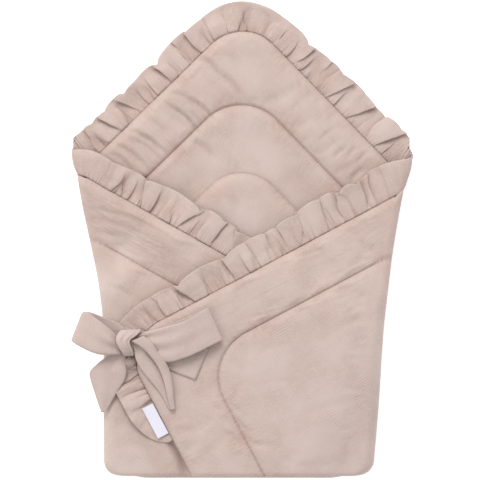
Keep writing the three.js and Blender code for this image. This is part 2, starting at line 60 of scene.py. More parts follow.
# The corners where they lie, each from its unrounded tip. Heading points in along the diagonal, and
# left and right are the quilt line's insets from the edges on either hand.
CORNERS = {
    "head": {"x": 2, "y": 303, "heading": -90.75, "left": 67, "right": 67},
    "foot": {"x": 0, "y": 114, "heading": -90, "left": 85, "right": 85},
    "left": {"x": 176, "y": -130, "heading": 195.8, "left": 85, "right": 67},
    "right": {"x": -160, "y": -134, "heading": -17.1, "left": 67, "right": 85},
}

# The panels that lie over each one
COVERS = {"head": ("foot", "left", "right"), "foot": ("left", "right"), "left": ("right",), "right": ()}


def table(columns, rows):
    """Rows of numbers as an array with named columns."""
    return np.array(rows, dtype=[(column, float) for column in columns.split()])


# Where the outline turns over at each side, down the length of the wrap
SIDE_FOLDS = table(
    "y left right",
    [
        (-320, -183, 174), (-220, -183.5, 182.5), (-120, -184, 189), (-60, -190, 196), (0, -202, 204),
        (60, -215, 217), (100, -221.5, 223),
    ],
)

# Soft troughs in the padded faces, in plan. A trough below 0 is a ridge.
WRINKLES = {
    panel: table("x y to_x to_y width trough", rows)
    for panel, rows in {
        "head": [
            (-94, 196, -72, 190, 3.5, 1.9), (-74, 190, -40, 164, 3, 3.8),
            (-98, 180, -59, 146, 2.7, 3.8), (-62, 179, -45, 163, 2.2, 1.5),
            (-74, 174, -54, 155, 2.2, 1.5), (-147, 146, -131, 139, 3, 2.2),
            (-134, 140, -110, 123, 3.2, 4.6), (-111, 124, -98, 112, 4, 1.8),
            (-148, 135, -112, 111, 3, 2.6), (-167, 127, -126, 94, 4, 2.6),
            (-175, 116, -148, 96, 3, 2.4), (-122, 160, -100, 142, 4, 1.9),
            (-59, 245, -30, 223, 4.5, 3.5), (-33, 225, 3, 188, 5, 4.3),
            (-66, 132, -35, 111, 5, 2.7), (-21, 111, -2, 92, 3, 1.8),
            (104, 132, 123, 148, 3, 1.8), (124, 111, 139, 124, 3, 2.6),
            (142, 111, 152, 124, 2.8, 2.2), (155, 104, 168, 118, 3, 2.3),
            (147, 80, 164, 96, 5, 2.7), (67, 171, 78, 184, 3, 1.2),
            (114, 120, 128, 133, 3, 1.4), (-84, 52, -44, 90, 20, 2.6),
            (60, 88, 98, 46, 20, 2.4),
        ],
        "left": [
            (-207, 43, -86, -5, 4, 1.5), (-203, 30, -100, -14, 3.5, 1.3),
            (-199, 12, -115, -24, 4, 1.1), (-205, 20, -90, -22, 3, -0.9),
            (-186, -60, -142, -78, 5, 0.8), (-178, -240, -120, -262, 9, 0.9),
            (-170, -270, -112, -284, 8, 0.7), (-95, -266, -74, -318, 6.5, 8),
        ],
        "right": [
            (24, -150, 60, -137, 5, 0.6), (20, -196, 72, -186, 6, 0.6),
            (80, -236, 140, -216, 7, 0.6), (60, -106, 120, -84, 6, 0.5),
            (110, -130, 176, -100, 8, 0.7), (-30, -66, 60, -20, 9, 0.9),
            (70, -14, 150, 26, 9, 0.8), (-20, -236, 10, -262, 8, 0.7),
        ],
    }.items()
}


def smooth(value, low, high):
    """0 below low, 1 above high, and the cubic 3 t t - 2 t t t between them."""
    t = np.clip((value - low) / (high - low), 0, 1)
    return t * t * (3 - 2 * t)


def read_table(rows, key, column, at):
    """The smooth curve through one column of a table: on each span the cubic with the rows' values and
    their central slopes."""
    xs, ys = rows[key], rows[column]
    at = np.asarray(at, float)
    slopes = np.gradient(ys, xs, edge_order=1)
    slopes[1:-1] = (ys[2:] - ys[:-2]) / (xs[2:] - xs[:-2])
    i = np.clip(np.searchsorted(xs, at) - 1, 0, len(xs) - 2)
    span = xs[i + 1] - xs[i]
    t = np.clip((at - xs[i]) / span, 0, 1)
    start = (1 + 2 * t) * (1 - t) ** 2 * ys[i] + t * (1 - t) ** 2 * span * slopes[i]
    end = t * t * (3 - 2 * t) * ys[i + 1] + t * t * (t - 1) * span * slopes[i + 1]
    return start + end


def find_edge(test, inside, outside):
    """The place between two arrays of values where a test falls below 0, by halving 40 times."""
    a, b = np.array(inside, float), np.array(outside, float)
    for _ in range(40):
        middle = (a + b) / 2
        good = test(middle) > 0
        a, b = np.where(good, middle, a), np.where(good, b, middle)
    return a


def insets(name, x, y):
    """Distances from the edges on a corner's left and right hand: the point in the corner's frame,
    turned by 45 degrees."""
    corner = CORNERS[name]
    turn = math.radians(corner["heading"])
    dx, dy = x - corner["x"], y - corner["y"]
    along = dx * math.cos(turn) + dy * math.sin(turn)
    side = dy * math.cos(turn) - dx * math.sin(turn)
    return (along - side) / math.sqrt(2), (along + side) / math.sqrt(2)


def corner_point(name, from_left, from_right):
    """The plan point at given distances from a corner's two edges."""
    corner = CORNERS[name]
    turn = math.radians(corner["heading"])
    along = (from_left + from_right) / math.sqrt(2)
    side = (from_right - from_left) / math.sqrt(2)
    x = corner["x"] + along * math.cos(turn) - side * math.sin(turn)
    y = corner["y"] + along * math.sin(turn) + side * math.cos(turn)
    return np.stack(np.broadcast_arrays(x, y), -1)


def rounded_inset(a, b, radius):
    """Distance inside a square corner with a rounded tip: radius less the distance from the rounding's
    centre near the tip, the smaller inset elsewhere."""
    near = (a < radius) & (b < radius)
    return np.where(near, radius - np.hypot(radius - a, radius - b), np.minimum(a, b))


def inside_edge(name, x, y):
    return rounded_inset(*insets(name, x, y), EDGE_ROUNDING)


def quilt_insets(name, x, y):
    a, b = insets(name, x, y)
    return a - CORNERS[name]["left"], b - CORNERS[name]["right"]


def inside_quilt(name, x, y):
    return rounded_inset(*quilt_insets(name, x, y), QUILT_ROUNDING)


def loft(name, x, y):
    """Thickness of a padded panel: it rolls up from the sewn edge and from the quilt line as the root
    of 1 - (1 - t)(1 - t), a quarter of an ellipse, and the shares of full height are multiplied."""
    def roll(distance, reach):
        return np.sqrt(1 - (1 - np.clip(distance / reach, 0, 1)) ** 2)

    full = LOFT[name]
    from_edge = roll(inside_edge(name, x, y), EDGE_ROLL)
    from_quilt = roll(np.abs(inside_quilt(name, x, y)), QUILT_ROLL)
    quilted = (STITCH + (full - STITCH) * from_quilt) / full
    return SEAM + (full - SEAM) * from_edge * quilted - (1 - quilted) * SEAM * from_edge


def floor_under(name, x, y):
    """Height of a panel's underside: one step up for each layer below it, eased over that layer's
    edge."""
    if name == "head":
        return np.zeros(np.broadcast(x, y).shape)
    if name == "foot":
        return np.full(np.broadcast(x, y).shape, LOFT["head"] + LAYER_GAP)
    height = LOFT["head"] + LAYER_GAP
    height = height + (LOFT["foot"] + LAYER_GAP) * smooth(inside_edge("foot", x, y), -32, 15)
    if name == "right":
        height = height + (LOFT["left"] + LAYER_GAP) * smooth(inside_edge("left", x, y), -70, 12)
    return height


def side_fold(name, y):
    """A flap's fold at height y in plan: the side it is on, the x where the turn begins and its
    half-round depth."""
    side = 1 if name == "right" else -1
    from_foot = np.clip(y - FLAP_FOOT, 0, FOOT_ROUNDING)
    rounding = FOOT_ROUNDING - np.sqrt(FOOT_ROUNDING**2 - (FOOT_ROUNDING - from_foot) ** 2)
    outer = read_table(SIDE_FOLDS, "y", name, y) - side * rounding
    height = floor_under(name, outer, y) + loft(name, outer, y)
    return side, outer - side * height / 2, height / 2


def edge_at_fold(corner, side, highest=150):
    """The y at which a corner's edge meets a side fold, sought up to the highest."""
    return float(find_edge(lambda y: inside_edge(corner, side_fold(side, y)[1], y), -100, highest))


def edge_line(name, from_left, from_right, radius, end_a, end_b):
    """A line round a corner at given insets: a straight run, a quarter turn and a straight run, by
    length, as a function of 0 to 1."""
    a = insets(name, *end_a)[0] - from_left - radius
    b = insets(name, *end_b)[1] - from_right - radius
    turn = radius * np.pi / 2

    def point(v):
        run = np.asarray(v, float) * (a + turn + b)
        angle = np.clip((run - a) / radius, 0, np.pi / 2)
        before, after = np.maximum(a - run, 0), np.maximum(run - a - turn, 0)
        return corner_point(
            name,
            from_left + radius * (1 - np.sin(angle)) + before,
            from_right + radius * (1 - np.cos(angle)) + after,
        )

    return point


def corner_plan(name, margin, foot, lines, band, field):
    """Plan points of a panel between the side folds: lines run from the edge over the quilt line to the
    foot, the ends bent onto the folds."""
    def side_x(flap, y):
        side, start, _ = side_fold(flap, y)
        return start - side * margin

    def meets(flap, test):
        y = find_edge(lambda h: test(name, side_x(flap, h), h), foot, 200)
        return float(side_x(flap, y)), float(y)

    edge_ends = [meets("left", inside_edge), meets("right", inside_edge)]
    quilt_ends = [meets("left", inside_quilt), meets("right", inside_quilt)]
    corner = CORNERS[name]
    edge = edge_line(name, 0, 0, EDGE_ROUNDING, *edge_ends)(lines)
    quilt = edge_line(name, corner["left"], corner["right"], QUILT_ROUNDING, *quilt_ends)(lines)
    foot_x = side_x("left", foot) * (1 - lines) + side_x("right", foot) * lines
    foot_line = np.stack([foot_x, np.full_like(lines, foot)], -1)

    def patch(start, end, ys_left, ys_right, w):
        w = w[None, :, None]
        plan = start[:, None] * (1 - w) + end[:, None] * w
        flat_w = w[0, :, 0]
        for flap, ys, column, weight in (
            ("left", ys_left, 0, 1 - lines),
            ("right", ys_right, -1, lines),
        ):
            x_on_fold = side_x(flap, ys[0] * (1 - flat_w) + ys[1] * flat_w)
            plan[..., 0] += weight[:, None] * (x_on_fold - plan[column, :, 0])[None]
        return plan

    edge_y, quilt_y = [[end[1] for end in ends] for ends in (edge_ends, quilt_ends)]
    top = patch(edge, quilt, (edge_y[0], quilt_y[0]), (edge_y[1], quilt_y[1]), band)
    low = patch(quilt, foot_line, (quilt_y[0], foot), (quilt_y[1], foot), field)
    return np.concatenate([top, low[:, 1:]], 1)


def flap_plan(name, rows, band, field):
    """Plan points of a folded side corner: rows across the wrap, from the edge over the quilt line to
    the start of the fold."""
    side, start, depth = side_fold(name, rows)
    far = start - side * 500
    tip = find_edge(lambda x: inside_edge(name, x, rows), start, far)
    crossing = find_edge(lambda x: inside_quilt(name, x, rows), start, far)
    room = np.minimum(8, np.abs(start - tip) / 2)
    quilt = side * np.minimum(side * crossing, side * start - room)
    x_band = tip[:, None] * (1 - band) + quilt[:, None] * band
    x_field = quilt[:, None] * (1 - field) + start[:, None] * field
    x = np.concatenate([x_band, x_field[:, 1:]], 1)
    return np.stack([x, np.broadcast_to(rows[:, None], x.shape)], -1), depth


def stitch_place(name, x, y):
    """Length along the nearer of the edge and the quilt line, distance from it, and how much the cloth
    is pulled along it: round the tip the length is the angle times the radius."""
    def along(a, b, radius):
        near = (a < radius) & (b < radius)
        angle = np.arctan2(radius - a, radius - b) - np.pi / 4
        straight = np.where(a < b, b - radius, radius - a)
        return np.where(near, radius * angle, straight + np.sign(straight) * radius * np.pi / 4)

    edge, quilt = inside_edge(name, x, y), np.abs(inside_quilt(name, x, y))
    on_edge = along(*insets(name, x, y), EDGE_ROUNDING)
    on_quilt = along(*quilt_insets(name, x, y), QUILT_ROUNDING)
    length = np.where(edge < quilt, on_edge, on_quilt)
    pull = np.zeros_like(edge)
    if name == "left":
        pull = smooth(edge, 6, 18) * (1 - smooth(edge, 48, 62)) * (1 - smooth(x, -110, -60))
    return np.stack([length, np.minimum(edge, quilt), pull], -1)


def wrinkle_height(name, x, y):
    """Sum of the panel's troughs: each a bell across its line with a low ridge on both sides, fading
    out towards its ends."""
    total = np.zeros(x.shape)
    for row in WRINKLES.get(name, ()):
        run = np.array([row["to_x"] - row["x"], row["to_y"] - row["y"]])
        length = np.hypot(*run)
        dx, dy = x - row["x"], y - row["y"]
        t = (dx * run[0] + dy * run[1]) / length**2
        bow = 0.08 * length * np.sin(np.pi * np.clip(t, 0, 1))
        across = ((dy * run[0] - dx * run[1]) / length - bow) / row["width"]
        fade = smooth(t, -0.25, 0.3) * (1 - smooth(t, 0.7, 1.25))
        total -= row["trough"] * fade * (1 - 0.8 * across**2) * np.exp(-(across**2))
    return total


def grid_quads(rows, columns):
    """Corner indices of the quads of a grid, row after row."""
    i, j = np.meshgrid(np.arange(rows - 1), np.arange(columns - 1), indexing="ij")
    a = (i * columns + j).ravel()
    return np.stack([a, a + columns, a + columns + 1, a + 1], -1)


def closed_sheet(top, under):
    """Two grids joined by a rim along their four sides. Points, quads, and a volume above 0."""
    rows, columns = top.shape[:2]
    count = rows * columns
    points = np.concatenate([top.reshape(-1, 3), under.reshape(-1, 3)])
    faces = grid_quads(rows, columns)
    at = np.arange(count).reshape(rows, columns)
    ring = np.concatenate([at[:, 0], at[-1, 1:], at[-2::-1, -1], at[0, -2:0:-1]])
    after = np.roll(ring, -1)
    rim = np.stack([after, ring, ring + count, after + count], -1)
    quads = np.concatenate([faces, faces[:, ::-1] + count, rim])
    a, b, c, d = (points[quads[:, k]] for k in range(4))
    volume = (np.cross(a, b) * c).sum() + (np.cross(a, c) * d).sum()
    return points, quads if volume > 0 else quads[:, ::-1]


def cloth_sheet(top, under, uv, stitch, shade):
    """A closed sheet whose two faces share their UVs, places along the stitching and painted shade."""
    points, quads = closed_sheet(top, under)
    shared = {"uv": uv.reshape(-1, 2), "stitch": stitch.reshape(-1, 3), "fold": shade.ravel()}
    return {"points": points, "quads": quads} | {key: np.concatenate([v, v]) for key, v in shared.items()}


def add_object(name, data):
    """An object in the scene for a mesh, a lamp or a camera."""
    added = bpy.data.objects.new(name, data)
    bpy.context.scene.collection.objects.link(added)
    return added


def cloth_mesh(name, sheets):
    """One smooth mesh in metres from closed sheets, each with its points, quads, UVs, places along its
    stitching, and shares of painted shade in its folds."""
    offsets = np.cumsum([0] + [len(sheet["points"]) for sheet in sheets])
    points = np.concatenate([sheet["points"] for sheet in sheets]) / 1000
    quads = np.concatenate([sheet["quads"] + start for sheet, start in zip(sheets, offsets)])
    mesh = bpy.data.meshes.new(name)
    mesh.vertices.add(len(points))
    mesh.vertices.foreach_set("co", points.ravel())
    mesh.loops.add(quads.size)
    mesh.loops.foreach_set("vertex_index", quads.ravel())
    mesh.polygons.add(len(quads))
    mesh.polygons.foreach_set("loop_start", np.arange(0, quads.size, 4))
    mesh.polygons.foreach_set("use_smooth", np.ones(len(quads), bool))
    mesh.update(calc_edges=True)
    uv = np.concatenate([sheet["uv"] for sheet in sheets]) / 1000
    mesh.uv_layers.new(name="cloth").data.foreach_set("uv", uv[quads.ravel()].ravel())
    stitch = np.concatenate([sheet["stitch"] for sheet in sheets]) / 1000
    mesh.attributes.new("stitch", "FLOAT_VECTOR", "POINT").data.foreach_set("vector", stitch.ravel())
    # The fold attribute is painted shade, from 0 to 1, deep in folds, in troughs and beside covering
    # flaps
    fold = np.concatenate([sheet["fold"] for sheet in sheets])
    mesh.attributes.new("fold", "FLOAT", "POINT").data.foreach_set("value", fold)
    mesh.validate()
    return add_object(name, mesh)


def finer(grid, axis):
    """Twice as many intervals along one axis, the new points on the cubic through four old ones."""
    g = np.moveaxis(grid, axis, 0)
    padded = np.concatenate([2 * g[:1] - g[1:2], g, 2 * g[-1:] - g[-2:-1]])
    middle = (9 * (padded[1:-2] + padded[2:-1]) - padded[:-3] - padded[3:]) / 16
    out = np.empty((2 * len(g) - 1, *g.shape[1:]))
    out[::2], out[1::2] = g, middle
    return np.moveaxis(out, 0, axis)


def press_out(top, free, slack=0.02, cap=1.6):
    """How far wadding moves a panel's upper face: cloth simulated under pressure on every second point,
    held wherever free is 0, with some slack, and no point moved further than the cap."""
    coarse, loose = top[::2, ::2], free[::2, ::2]
    rows, columns = loose.shape
    mesh = bpy.data.meshes.new("press")
    mesh.from_pydata((coarse.reshape(-1, 3) / 1000).tolist(), [], grid_quads(rows, columns).tolist())
    rest = np.cross(coarse[1, 0] - coarse[0, 0], coarse[0, 1] - coarse[0, 0])
    if rest[2] < 0:
        mesh.flip_normals()
    sheet = add_object("press", mesh)
    held = sheet.vertex_groups.new(name="held")
    levels = np.round(loose.ravel(), 1)
    for level in np.unique(levels):
        held.add(np.flatnonzero(levels == level).tolist(), float(1 - level), "REPLACE")
    cloth = sheet.modifiers.new("cloth", "CLOTH")
    settings = cloth.settings
    settings.quality = 6
    settings.mass = 0.25
    settings.tension_stiffness = settings.compression_stiffness = 18
    settings.shear_stiffness = 8
    settings.bending_stiffness = 0.6
    settings.vertex_group_mass = "held"
    settings.pin_stiffness = 2
    settings.shrink_min = -slack
    settings.use_pressure = True
    settings.uniform_pressure_force = 4
    settings.effector_weights.gravity = 0
    cloth.point_cache.frame_start, cloth.point_cache.frame_end = 1, 20
    for number in range(1, 21):
        bpy.context.scene.frame_set(number)
    settled = sheet.evaluated_get(bpy.context.evaluated_depsgraph_get()).to_mesh()
    moved = np.empty(len(settled.vertices) * 3)
    settled.vertices.foreach_get("co", moved)
    moved = moved.reshape(rows, columns, 3) * 1000 - coarse
    bpy.data.objects.remove(sheet)
    bpy.context.scene.frame_set(1)
    reach = np.linalg.norm(moved, axis=-1, keepdims=True)
    moved *= cap * np.tanh(reach / cap) / np.maximum(reach, 1e-6)
    return finer(finer(moved, 0), 1) * free[..., None]


def panel_sheet(name, plan, free, out=None, depth=None, pinch=1, rise=0):
    """A panel as a closed sheet: its upper face on floor plus loft plus wrinkles, its underside on the
    floor, and for a folded panel a half-round turn and a leg that runs back inside the back panel. Rise
    is how far each row climbs towards the head on its way round the turn. Its colour carries painted
    shade in its troughs and, from the ruffle's reach, beside a flap that covers it."""
    x, y = plan[..., 0], plan[..., 1]
    low, thick = floor_under(name, x, y), loft(name, x, y)
    top = np.stack([x, y, low + thick + wrinkle_height(name, x, y) * smooth(thick, 4, 8)], -1)
    under = np.stack([x, y, low], -1)
    top += press_out(top, free)
    flat = plan
    if out is not None:
        start, half = plan[:, -1], depth[:, None]
        high, base, leg_top = (low + thick)[:, -1:], low[:, -1:], thick[:, -1:] - 0.4
        k = np.linspace(0, 1, 17)[1:]
        angle = np.pi / 2 - np.pi * k
        wall = (high - base) * (1 - k) + leg_top * k
        share = (1 + np.sin(angle)) / 2
        leg = LEG * np.array([0.3, 1.0])
        climb = np.broadcast_to(rise, len(start))[:, None] * np.append(k, [1, 1])

        def carried(distance):
            return start[:, None] + out * distance[..., None]

        def turned(reach, heights, leg_heights):
            ends = [np.broadcast_to(end, (len(start), 2)) for end in (-leg, leg_heights)]
            around = carried(np.concatenate([reach * np.cos(angle), ends[0]], 1))
            around = np.dstack([around, np.concatenate([heights, ends[1]], 1)])
            around[..., 1] += climb
            return around

        inner = turned(np.maximum(half - wall, 0), leg_top * (1 - share) + base * share, leg_top)
        top = np.concatenate([top, turned(half, high * share, [0.6, 1.5])], 1)
        under = np.concatenate([under, inner], 1)
        flat = np.concatenate([plan, carried(np.append(k * np.pi, np.pi + 0.1 + leg / 25) * half)], 1)
    middle = (top + under) / 2
    pinch = np.broadcast_to(pinch, len(top))[:, None, None]
    top, under = middle + (top - middle) * pinch, middle + (under - middle) * pinch
    x, y = flat[..., 0], flat[..., 1]
    # Painted shade: darker in the troughs, and beside the ruffle of a flap that lies over this panel
    shade = 0.095 * np.clip(-wrinkle_height(name, x, y), 0, 6)
    darkest, spread = {"head": (0.47, 18), "foot": (0.2, 10)}.get(name, (0.42, 13))
    for cover in set(COVERS[name]) - {"foot"}:
        beyond = np.maximum(0, -inside_edge(cover, x, y) - RUFFLE_REACH)
        shade = np.maximum(shade, darkest * np.exp(-beyond / spread))
    return cloth_sheet(top, under, np.stack(insets(name, x, y), -1), stitch_place(name, x, y), shade)


def spaced(count, crowd_end=False):
    """Steps from 0 to 1, closer at the start or at both ends: a straight run mixed with a cosine."""
    t = np.linspace(0, 1, count + 1)
    if crowd_end:
        return 0.45 * t + 0.55 * (0.5 - 0.5 * np.cos(np.pi * t))
    return 0.35 * t + 0.65 * (1 - np.cos(np.pi / 2 * t))


def loose_cloth(name, plan):
    """Where a face may move: 0 on its stitching, at its ends, at a flap that covers it and under the
    bow, 1 in the open."""
    x, y = plan[..., 0], plan[..., 1]
    free = smooth(inside_edge(name, x, y), 3, 12) * smooth(np.abs(inside_quilt(name, x, y)), 1.5, 9)
    for cover in COVERS[name]:
        free = free * (1 - smooth(inside_edge(cover, x, y), -62, -40))
    if name in ("left", "right"):
        bow = np.hypot((x + 105) / 110, (y + 150) / 90)
        free = free * smooth(bow, 0.85, 1.15) * smooth(y, FLAP_FOOT + 4, FLAP_FOOT + 30)
        side, start, _ = side_fold(name, y)
        free = free * smooth(side * (start - x), 0, 25)
    else:
        free[-1] = 0
    free[0] = 0
    return free


# The back with the head corner lies on the floor, and the foot corner turns up over it. Its turn is a
# little shallower at both ends, where the flaps cover it.
foot_depth = (LOFT["head"] + LAYER_GAP + LOFT["foot"]) / 2
head_lines = np.interp(np.arange(253), [0, 142, 177, 252], [0, 0.43, 0.62, 1])
back_end = FOOT_FOLD + foot_depth + 0.5
head_plan = corner_plan("head", 0.5, back_end, head_lines, spaced(30, True), spaced(44) ** 1.15)
head_free = loose_cloth("head", head_plan)
head_free[:, -1] = 0
panels = [panel_sheet("head", head_plan, head_free)]

foot_lines = np.linspace(0, 1, 81)
foot_plan = corner_plan("foot", 4, FOOT_FOLD + foot_depth, foot_lines, spaced(16, True), spaced(24))
foot_x = foot_plan[:, -1, 0]
from_end = np.minimum(foot_x - foot_x[0], foot_x[-1] - foot_x)
foot_depths = foot_depth - 4.5 * (1 - smooth(from_end, 0, 34))
foot_free = loose_cloth("foot", foot_plan)
panels.append(panel_sheet("foot", foot_plan, foot_free, np.array([0, -1]), foot_depths))

# Each flap's rows run from its edge on the side fold down to the foot, where its faces close together
for side_name, side_out in (("left", -1), ("right", 1)):
    highest = edge_at_fold(side_name, side_name, 120) - 1.5
    main_rows = highest + (FLAP_FOOT + 8 - highest) * np.linspace(0, 1, 119) ** 1.12
    rows = np.append(main_rows, FLAP_FOOT + np.array([5.5, 3.2, 1.4, 0.4]))
    side_plan, side_depth = flap_plan(side_name, rows, spaced(34, True), spaced(44))
    closing = np.maximum(0.2, np.sqrt(1 - (1 - np.clip((rows - FLAP_FOOT) / 5.5, 0, 1)) ** 2))
    side_rise = (edge_at_fold("head", side_name) - highest - 1.5) * (1 - smooth(highest - rows, 0, 60))
    side_free = loose_cloth(side_name, side_plan)
    side_out = np.array([side_out, 0])
    panels.append(panel_sheet(side_name, side_plan, side_free, side_out, side_depth, closing, side_rise))

padded_square = cloth_mesh("padded_square", panels)
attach(padded_square, "root")
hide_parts("wrap")


def add_node(tree, kind, links=None, **settings):
    """A shader node with its settings. Links gives each input, by name or number, a value or the socket
    that feeds it."""
    node = tree.nodes.new(kind)
    for key, value in settings.items():
        setattr(node, key, value)
    for key, value in (links or {}).items():
        if isinstance(value, bpy.types.NodeSocket):
            tree.links.new(value, node.inputs[key])
        else:
            node.inputs[key].default_value = value
    return node


def math_node(tree, operation, *values):
    """The result of one sum on sockets or numbers."""
    return add_node(tree, "ShaderNodeMath", dict(enumerate(values)), operation=operation).outputs[0]


def vector_node(tree, operation, *values):
    """The same on vectors."""
    return add_node(tree, "ShaderNodeVectorMath", dict(enumerate(values)), operation=operation).outputs[0]


def noise_node(tree, vector, scale, detail, roughness=0.5):
    """Noise, about 0.5, of a vector in millimetres."""
    links = {"Vector": vector, "Scale": scale, "Detail": detail, "Roughness": roughness}
    return add_node(tree, "ShaderNodeTexNoise", links).outputs["Fac"]


def remapped(tree, value, low, high, to_low, to_high):
    """A value carried in a straight line from one range to another, and held at its ends."""
    links = {"Value": value, 1: low, 2: high, 3: to_low, 4: to_high}
    return add_node(tree, "ShaderNodeMapRange", links).outputs[0]


def mixed(tree, factor, low, high):
    """A colour between two."""
    links = {"Factor": factor, 6: low, 7: high}
    return add_node(tree, "ShaderNodeMix", links, data_type="RGBA", clamp_factor=True).outputs[2]


def ridges(tree, noise, power):
    """Lines where noise crosses one half: 1 less twice its distance from there, to a power."""
    off = math_node(tree, "ABSOLUTE", math_node(tree, "MULTIPLY_ADD", noise, 2, -1))
    return math_node(tree, "POWER", math_node(tree, "SUBTRACT", 1, off), power)


def bell(tree, value):
    """The exponential of less the value's square."""
    square = math_node(tree, "MULTIPLY", value, value)
    return math_node(tree, "EXPONENT", math_node(tree, "MULTIPLY", square, -1))


def new_group(name, vector, numbers, outputs):
    """An empty shader group with one vector input and named numbers, and its sockets at both ends."""
    tree = bpy.data.node_groups.new(name, "ShaderNodeTree")
    tree.interface.new_socket(vector, in_out="INPUT", socket_type="NodeSocketVector")
    for label, value in numbers.items():
        socket = tree.interface.new_socket(label, in_out="INPUT", socket_type="NodeSocketFloat")
        socket.default_value = value
    for label in outputs:
        tree.interface.new_socket(label, in_out="OUTPUT", socket_type="NodeSocketFloat")
    source, result = tree.nodes.new("NodeGroupInput"), tree.nodes.new("NodeGroupOutput")
    return tree, source.outputs, result.inputs


def crinkle_group():
    """Double muslin: two layers of loose weave tacked in a small square grid, crinkled by washing.
    Height is in millimetres. Tone is painted shade, from 0 on the crests to 1 in the creases, with a
    random mottle and a faint grid over it."""
    tree, source, result = new_group(
        "crinkled muslin", "Vector", {"Crinkle": 0.3, "Grid": 0.1, "Grain": 0.04}, ["Height", "Tone"]
    )
    calc, noise = functools.partial(math_node, tree), functools.partial(noise_node, tree)
    place = vector_node(tree, "MULTIPLY", source["Vector"], (1000, 1000, 1000))
    drift = add_node(tree, "ShaderNodeTexNoise", {"Vector": place, "Scale": 0.07, "Detail": 2})
    place = vector_node(tree, "MULTIPLY_ADD", drift.outputs["Color"], (3.5, 3.5, 3.5), place)
    long, short = (
        ridges(tree, noise(vector_node(tree, "MULTIPLY", place, stretch), 1, 3, 0.55), 3)
        for stretch in ((0.42, 0.055, 1), (0.06, 0.36, 1))
    )
    crease = calc("MULTIPLY_ADD", long, 0.55, calc("MULTIPLY", short, 0.45))
    crease = calc("MULTIPLY", crease, remapped(tree, noise(place, 0.022, 2), 0.35, 0.65, 0.35, 1))
    parts = add_node(tree, "ShaderNodeSeparateXYZ", {0: place}).outputs
    tack_pitch = 3.4
    waves = [calc("SINE", calc("MULTIPLY", parts[axis], 2 * math.pi / tack_pitch)) for axis in (0, 1)]
    grid = calc("MULTIPLY", calc("ADD", *waves), 0.5)
    grid = calc("MULTIPLY", grid, remapped(tree, noise(place, 0.016, 1), 0.5, 0.68, 0.15, 1))
    height = calc("MULTIPLY", calc("MULTIPLY", crease, source["Crinkle"]), -1)
    height = calc("MULTIPLY_ADD", grid, source["Grid"], height)
    height = calc("MULTIPLY_ADD", noise(place, 0.55, 2, 0.6), source["Grain"], height)
    # Painted shade in the creases, with a faint grid and a random mottle
    painted_shade_and_mottle = calc("MULTIPLY_ADD", crease, 0.55, calc("MULTIPLY", grid, -0.08))
    painted_shade_and_mottle = calc("ADD", painted_shade_and_mottle, calc("MULTIPLY_ADD", noise(place, 0.012, 2), 0.34, -0.08))
    tree.links.new(height, result["Height"])
    tree.links.new(painted_shade_and_mottle, result["Tone"])
    return tree


def pucker_group():
    """Gathering of the cloth along a line of stitches: short waves that die out as a bell over Reach
    millimetres. Line is 1 in the stitched groove and lower in stretches of it, Streaks are fine creases
    square to it, in patches, and Near is 1 where those patches touch it."""
    tree, source, result = new_group(
        "stitch puckers", "Place", {"Pitch": 6, "Reach": 6}, ["Height", "Line", "Streaks", "Near"]
    )
    calc = functools.partial(math_node, tree)
    place = vector_node(tree, "MULTIPLY", source["Place"], (1000, 1000, 1000))
    along, away, pull = add_node(tree, "ShaderNodeSeparateXYZ", {0: place}).outputs
    plan = add_node(tree, "ShaderNodeCombineXYZ", {0: along, 1: away}).outputs[0]

    def stretched(per_along, per_away, detail):
        """Noise with its own scales along the stitching and away from it."""
        scaled = vector_node(tree, "MULTIPLY", plan, (per_along, per_away, 0))
        return noise_node(tree, scaled, 1, detail, 0.6)

    links = {"W": calc("MULTIPLY", along, 0.09), "Detail": 2}
    uneven = add_node(tree, "ShaderNodeTexNoise", links, noise_dimensions="1D").outputs["Fac"]
    phase = calc("DIVIDE", calc("MULTIPLY", along, 2 * math.pi), source["Pitch"])
    wave = calc("SINE", calc("MULTIPLY_ADD", uneven, 6, phase))
    height = calc("MULTIPLY", wave, bell(tree, calc("DIVIDE", away, source["Reach"])))
    line = bell(tree, calc("MULTIPLY", away, 0.75))
    line = calc("MULTIPLY", line, remapped(tree, stretched(0.22, 0.02, 1), 0.38, 0.6, 0.3, 1))
    near = remapped(tree, away, 2, 52, 1, 0)
    near = calc("MULTIPLY", near, remapped(tree, stretched(0.022, 0.012, 2), 0.3, 0.68, 0, 1))
    square = ridges(tree, stretched(0.26, 0.035, 3), 4)
    pulled = ridges(tree, stretched(0.022, 0.42, 3), 4)
    streak = calc("MULTIPLY", calc("MULTIPLY", square, near), calc("MULTIPLY_ADD", pull, -0.8, 1))
    streak = calc("MULTIPLY_ADD", pulled, pull, streak)
    for label, value in (("Height", height), ("Line", line), ("Streaks", streak), ("Near", near)):
        tree.links.new(value, result[label])
    return tree


crinkled_muslin, stitch_puckers = crinkle_group(), pucker_group()


def new_material(name, values):
    """A material with plain values on its Principled shader's sockets, its tree and that shader."""
    material = bpy.data.materials.new(name)
    material.use_nodes = True
    shader = material.node_tree.nodes["Principled BSDF"]
    for label, value in values.items():
        shader.inputs[label].default_value = value
    return material, material.node_tree, shader


